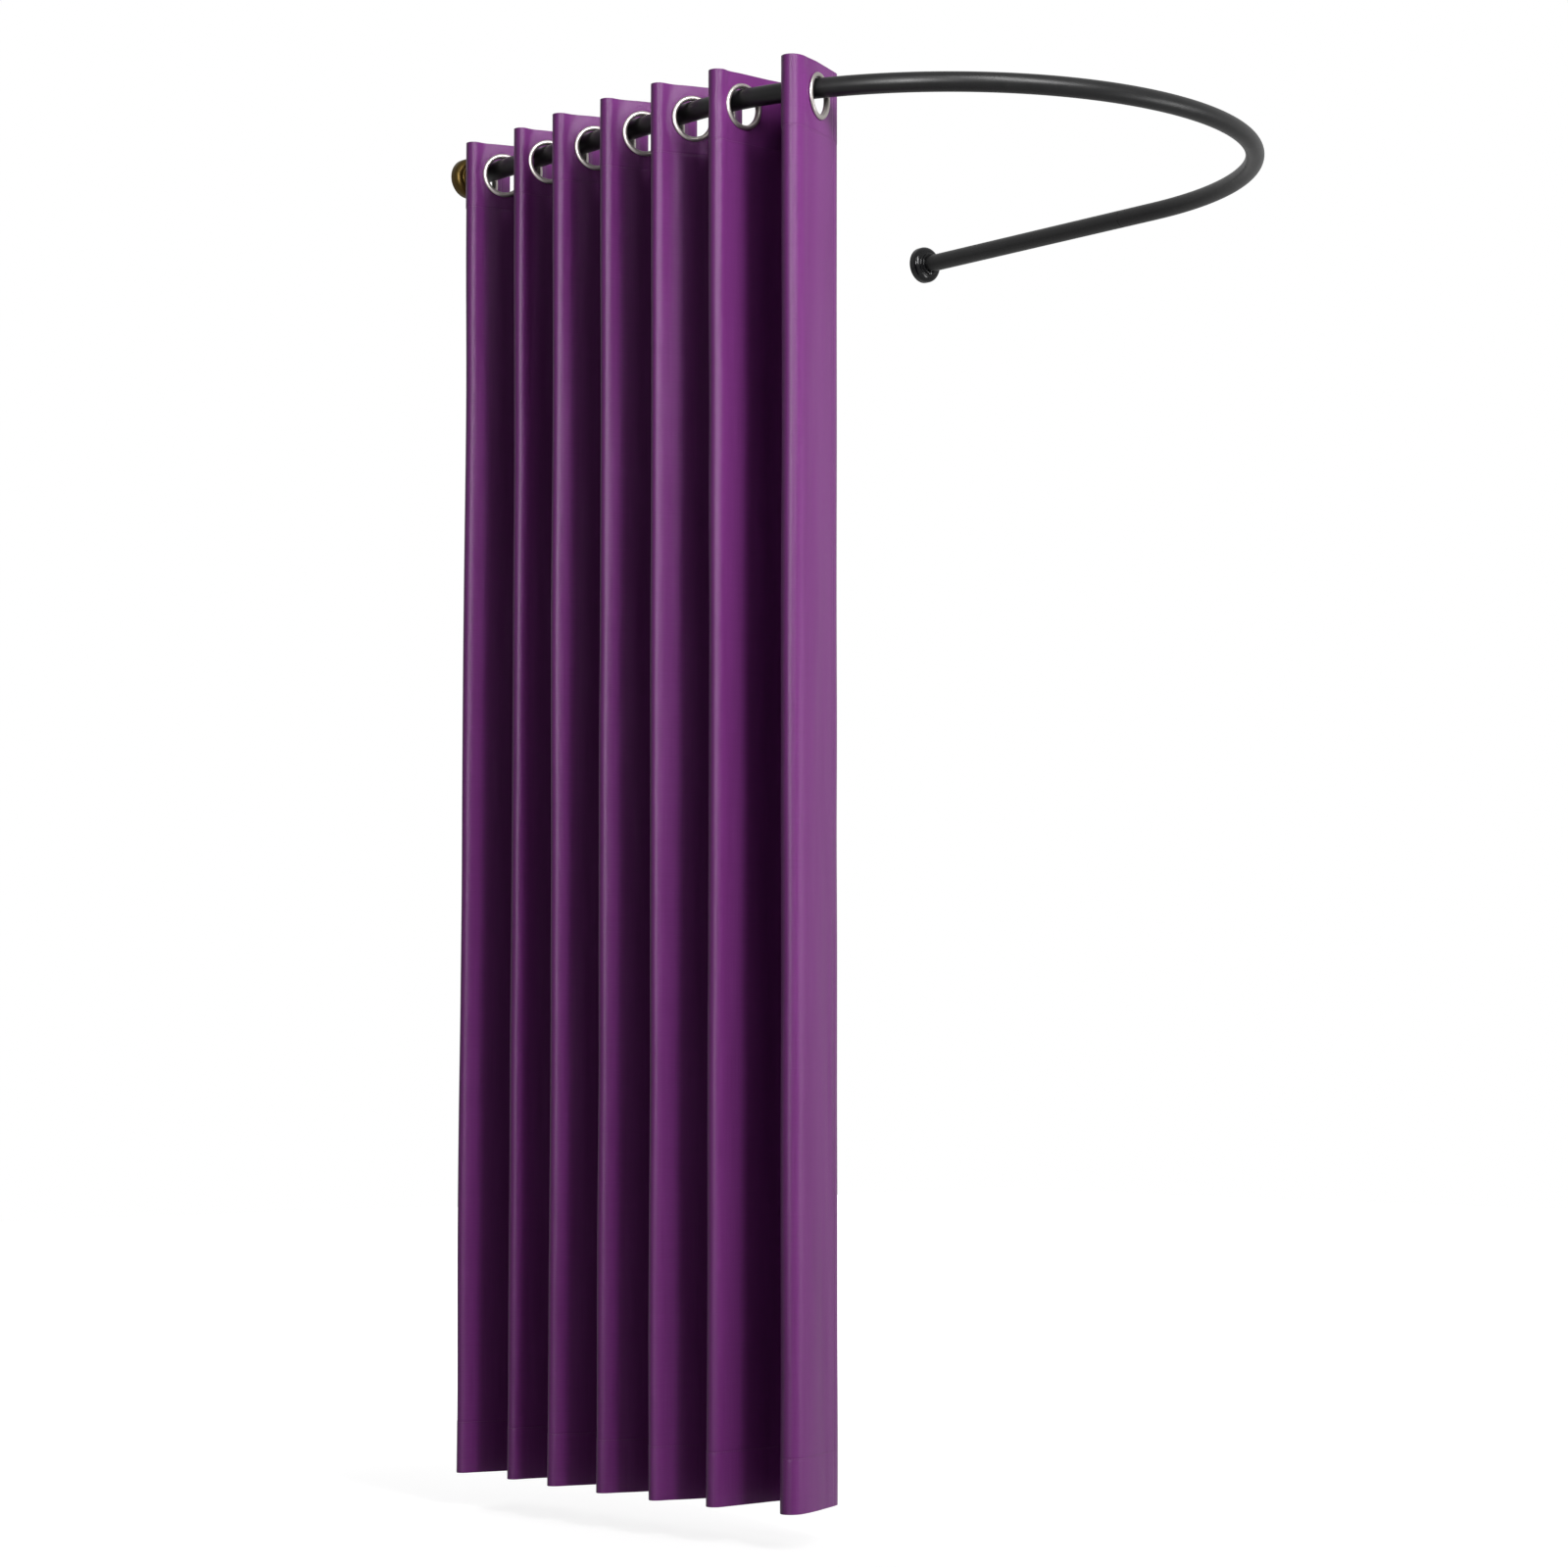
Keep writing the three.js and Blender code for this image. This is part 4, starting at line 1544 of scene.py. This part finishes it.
@dataclass
class Studio:
    """The pale floor, the soft lamps, the white surroundings and the camera."""

    camera_place: tuple[float, float, float] = (-3.281, -4.537, -1.33)
    yaw: float = -40.834
    pitch: float = 4.146
    lens: float = 85.07
    sensor: float = 36.0
    floor_place: tuple[float, float, float] = (0.4, -0.5, -1.994)
    floor_reach: float = 9.0
    floor_colour: Colour = (0.24, 0.24, 0.24, 1.0)
    floor_roughness: float = 0.9
    floor_specular: float = 0.1
    floor_near: float = 0.86
    floor_rise: float = 0.75
    shadow_place: tuple[float, float] = (0.3, -0.4)
    shadow_span: tuple[float, float] = (0.7, 2.8)
    ambient: float = 0.02
    reflected: float = 0.60
    floor_share: float = 0.7

    def camera(self) -> None:
        """Adds the camera at the viewing angle."""
        data = bpy.data.cameras.new("camera")
        data.lens, data.sensor_width = self.lens, self.sensor
        made = stand("camera", data)
        made.location = self.camera_place
        made.rotation_euler = (math.radians(90 + self.pitch), 0.0, math.radians(self.yaw))
        bpy.context.scene.camera = made

    def floor(self) -> None:
        """Adds the floor, which keeps the shadows near the object and shows white."""
        bm = bmesh.new()
        bmesh.ops.create_grid(
            bm, x_segments=1, y_segments=1, size=self.floor_reach,
            matrix=Matrix.Translation(self.floor_place),
        )
        mesh = bpy.data.meshes.new("floor")
        bm.to_mesh(mesh)
        bm.free()
        graph = ShaderGraph("floor_paint")
        rays = graph.node("ShaderNodeLightPath")
        seen = Value(graph, rays.outputs["Is Camera Ray"])
        mirrored = Value(graph, rays.outputs["Is Glossy Ray"])
        x, y, _ = graph.coordinates()
        across, out = x - self.shadow_place[0], y - self.shadow_place[1]
        away = (across * across + out * out).through("SQRT").eased(*self.shadow_span)
        glow = seen * (self.floor_near + away * self.floor_rise)
        graph.dress({
            "Base Color": self.floor_colour,
            "Roughness": self.floor_roughness,
            "Specular IOR Level": self.floor_specular,
            "Emission Color": WHITE,
            "Emission Strength": glow + mirrored * self.reflected * self.floor_share,
        })
        mesh.materials.append(graph.material)
        floor = stand("floor", mesh)

    def surroundings(self) -> None:
        """Sets a world that shows white, mirrors as pale grey and lights the object only faintly."""
        world = bpy.data.worlds.new("surroundings")
        bpy.context.scene.world = world
        world.use_nodes = True
        tree = world.node_tree
        tree.nodes.clear()
        rays = tree.nodes.new("ShaderNodeLightPath")
        shader = None
        strengths = {"": self.ambient, "Is Glossy Ray": self.reflected, "Is Camera Ray": 1.0}
        for kind, strength in strengths.items():
            light = tree.nodes.new("ShaderNodeBackground")
            light.inputs["Color"].default_value = WHITE
            light.inputs["Strength"].default_value = strength
            if shader is None:
                shader = light.outputs[0]
                continue
            mix = tree.nodes.new("ShaderNodeMixShader")
            tree.links.new(rays.outputs[kind], mix.inputs[0])
            tree.links.new(shader, mix.inputs[1])
            tree.links.new(light.outputs[0], mix.inputs[2])
            shader = mix.outputs[0]
        output = tree.nodes.new("ShaderNodeOutputWorld")
        tree.links.new(shader, output.inputs["Surface"])

    def build(self) -> None:
        """Sets the stage."""
        bpy.context.scene.view_settings.view_transform = "Standard"
        self.camera()
        self.floor()
        self.surroundings()
        for lamp in (
            Softbox(
                "front_lamp", -96.0, 4.6, 1.5, (1.9, 1.8), 33.0, target=(0.0, -0.45, -0.5), spread=80.0,
            ),
            Softbox("strip_lamp", -102.0, 3.6, 2.4, (0.3, 1.6), 44.0),
            Softbox("high_lamp", -110.0, 3.6, 2.4, (1.2, 1.2), 29.0),
            Softbox("right_lamp", -46.0, 4.6, -1.03, (0.8, 1.9), 45.0),
            Softbox("side_lamp", -140.0, 3.6, 2.6, (1.2, 1.2), 13.0),
            Softbox("edge_lamp", -139.0, 4.6, 0.4, (0.3, 2.4), 190.0, lights=False),
            Softbox("rear_lamp", 78.0, 3.6, 0.8, (2.0, 2.0), 80.0, shines=False),
        ):
            lamp.build()


def dress_kept_nodes(shop: Workshop) -> None:
    """Gives the nodes that no piece replaces, the sleeves and wall screws, their steel.

    Args:
        shop: the workshop that holds the finishes.
    """
    steel = shop.materials[Slot.STEEL]
    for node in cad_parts.values():
        if not node.hide_render:
            for holder in node.material_slots:
                holder.material = steel


def main() -> None:
    """Builds the whole scene in order."""
    logging.basicConfig(level=logging.INFO, format="%(message)s")
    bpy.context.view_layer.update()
    Studio().build()
    shop = Workshop()
    rail = Rail(shop)
    rail.build()
    for side, finish in ((Side.LEFT, Slot.CUP_BRONZE), (Side.RIGHT, Slot.CUP_BLACK)):
        WallFitting(shop, rail, side, finish).build()
    plan = CurtainPlan()
    plan.trace()
    eyelets = [Eyelet(shop, i + 1, panel).build() for i, panel in enumerate(plan.panels)]
    Curtain(shop, plan).build(eyelets)
    dress_kept_nodes(shop)
    bpy.context.view_layer.update()


if __name__ == "__main__":
    main()
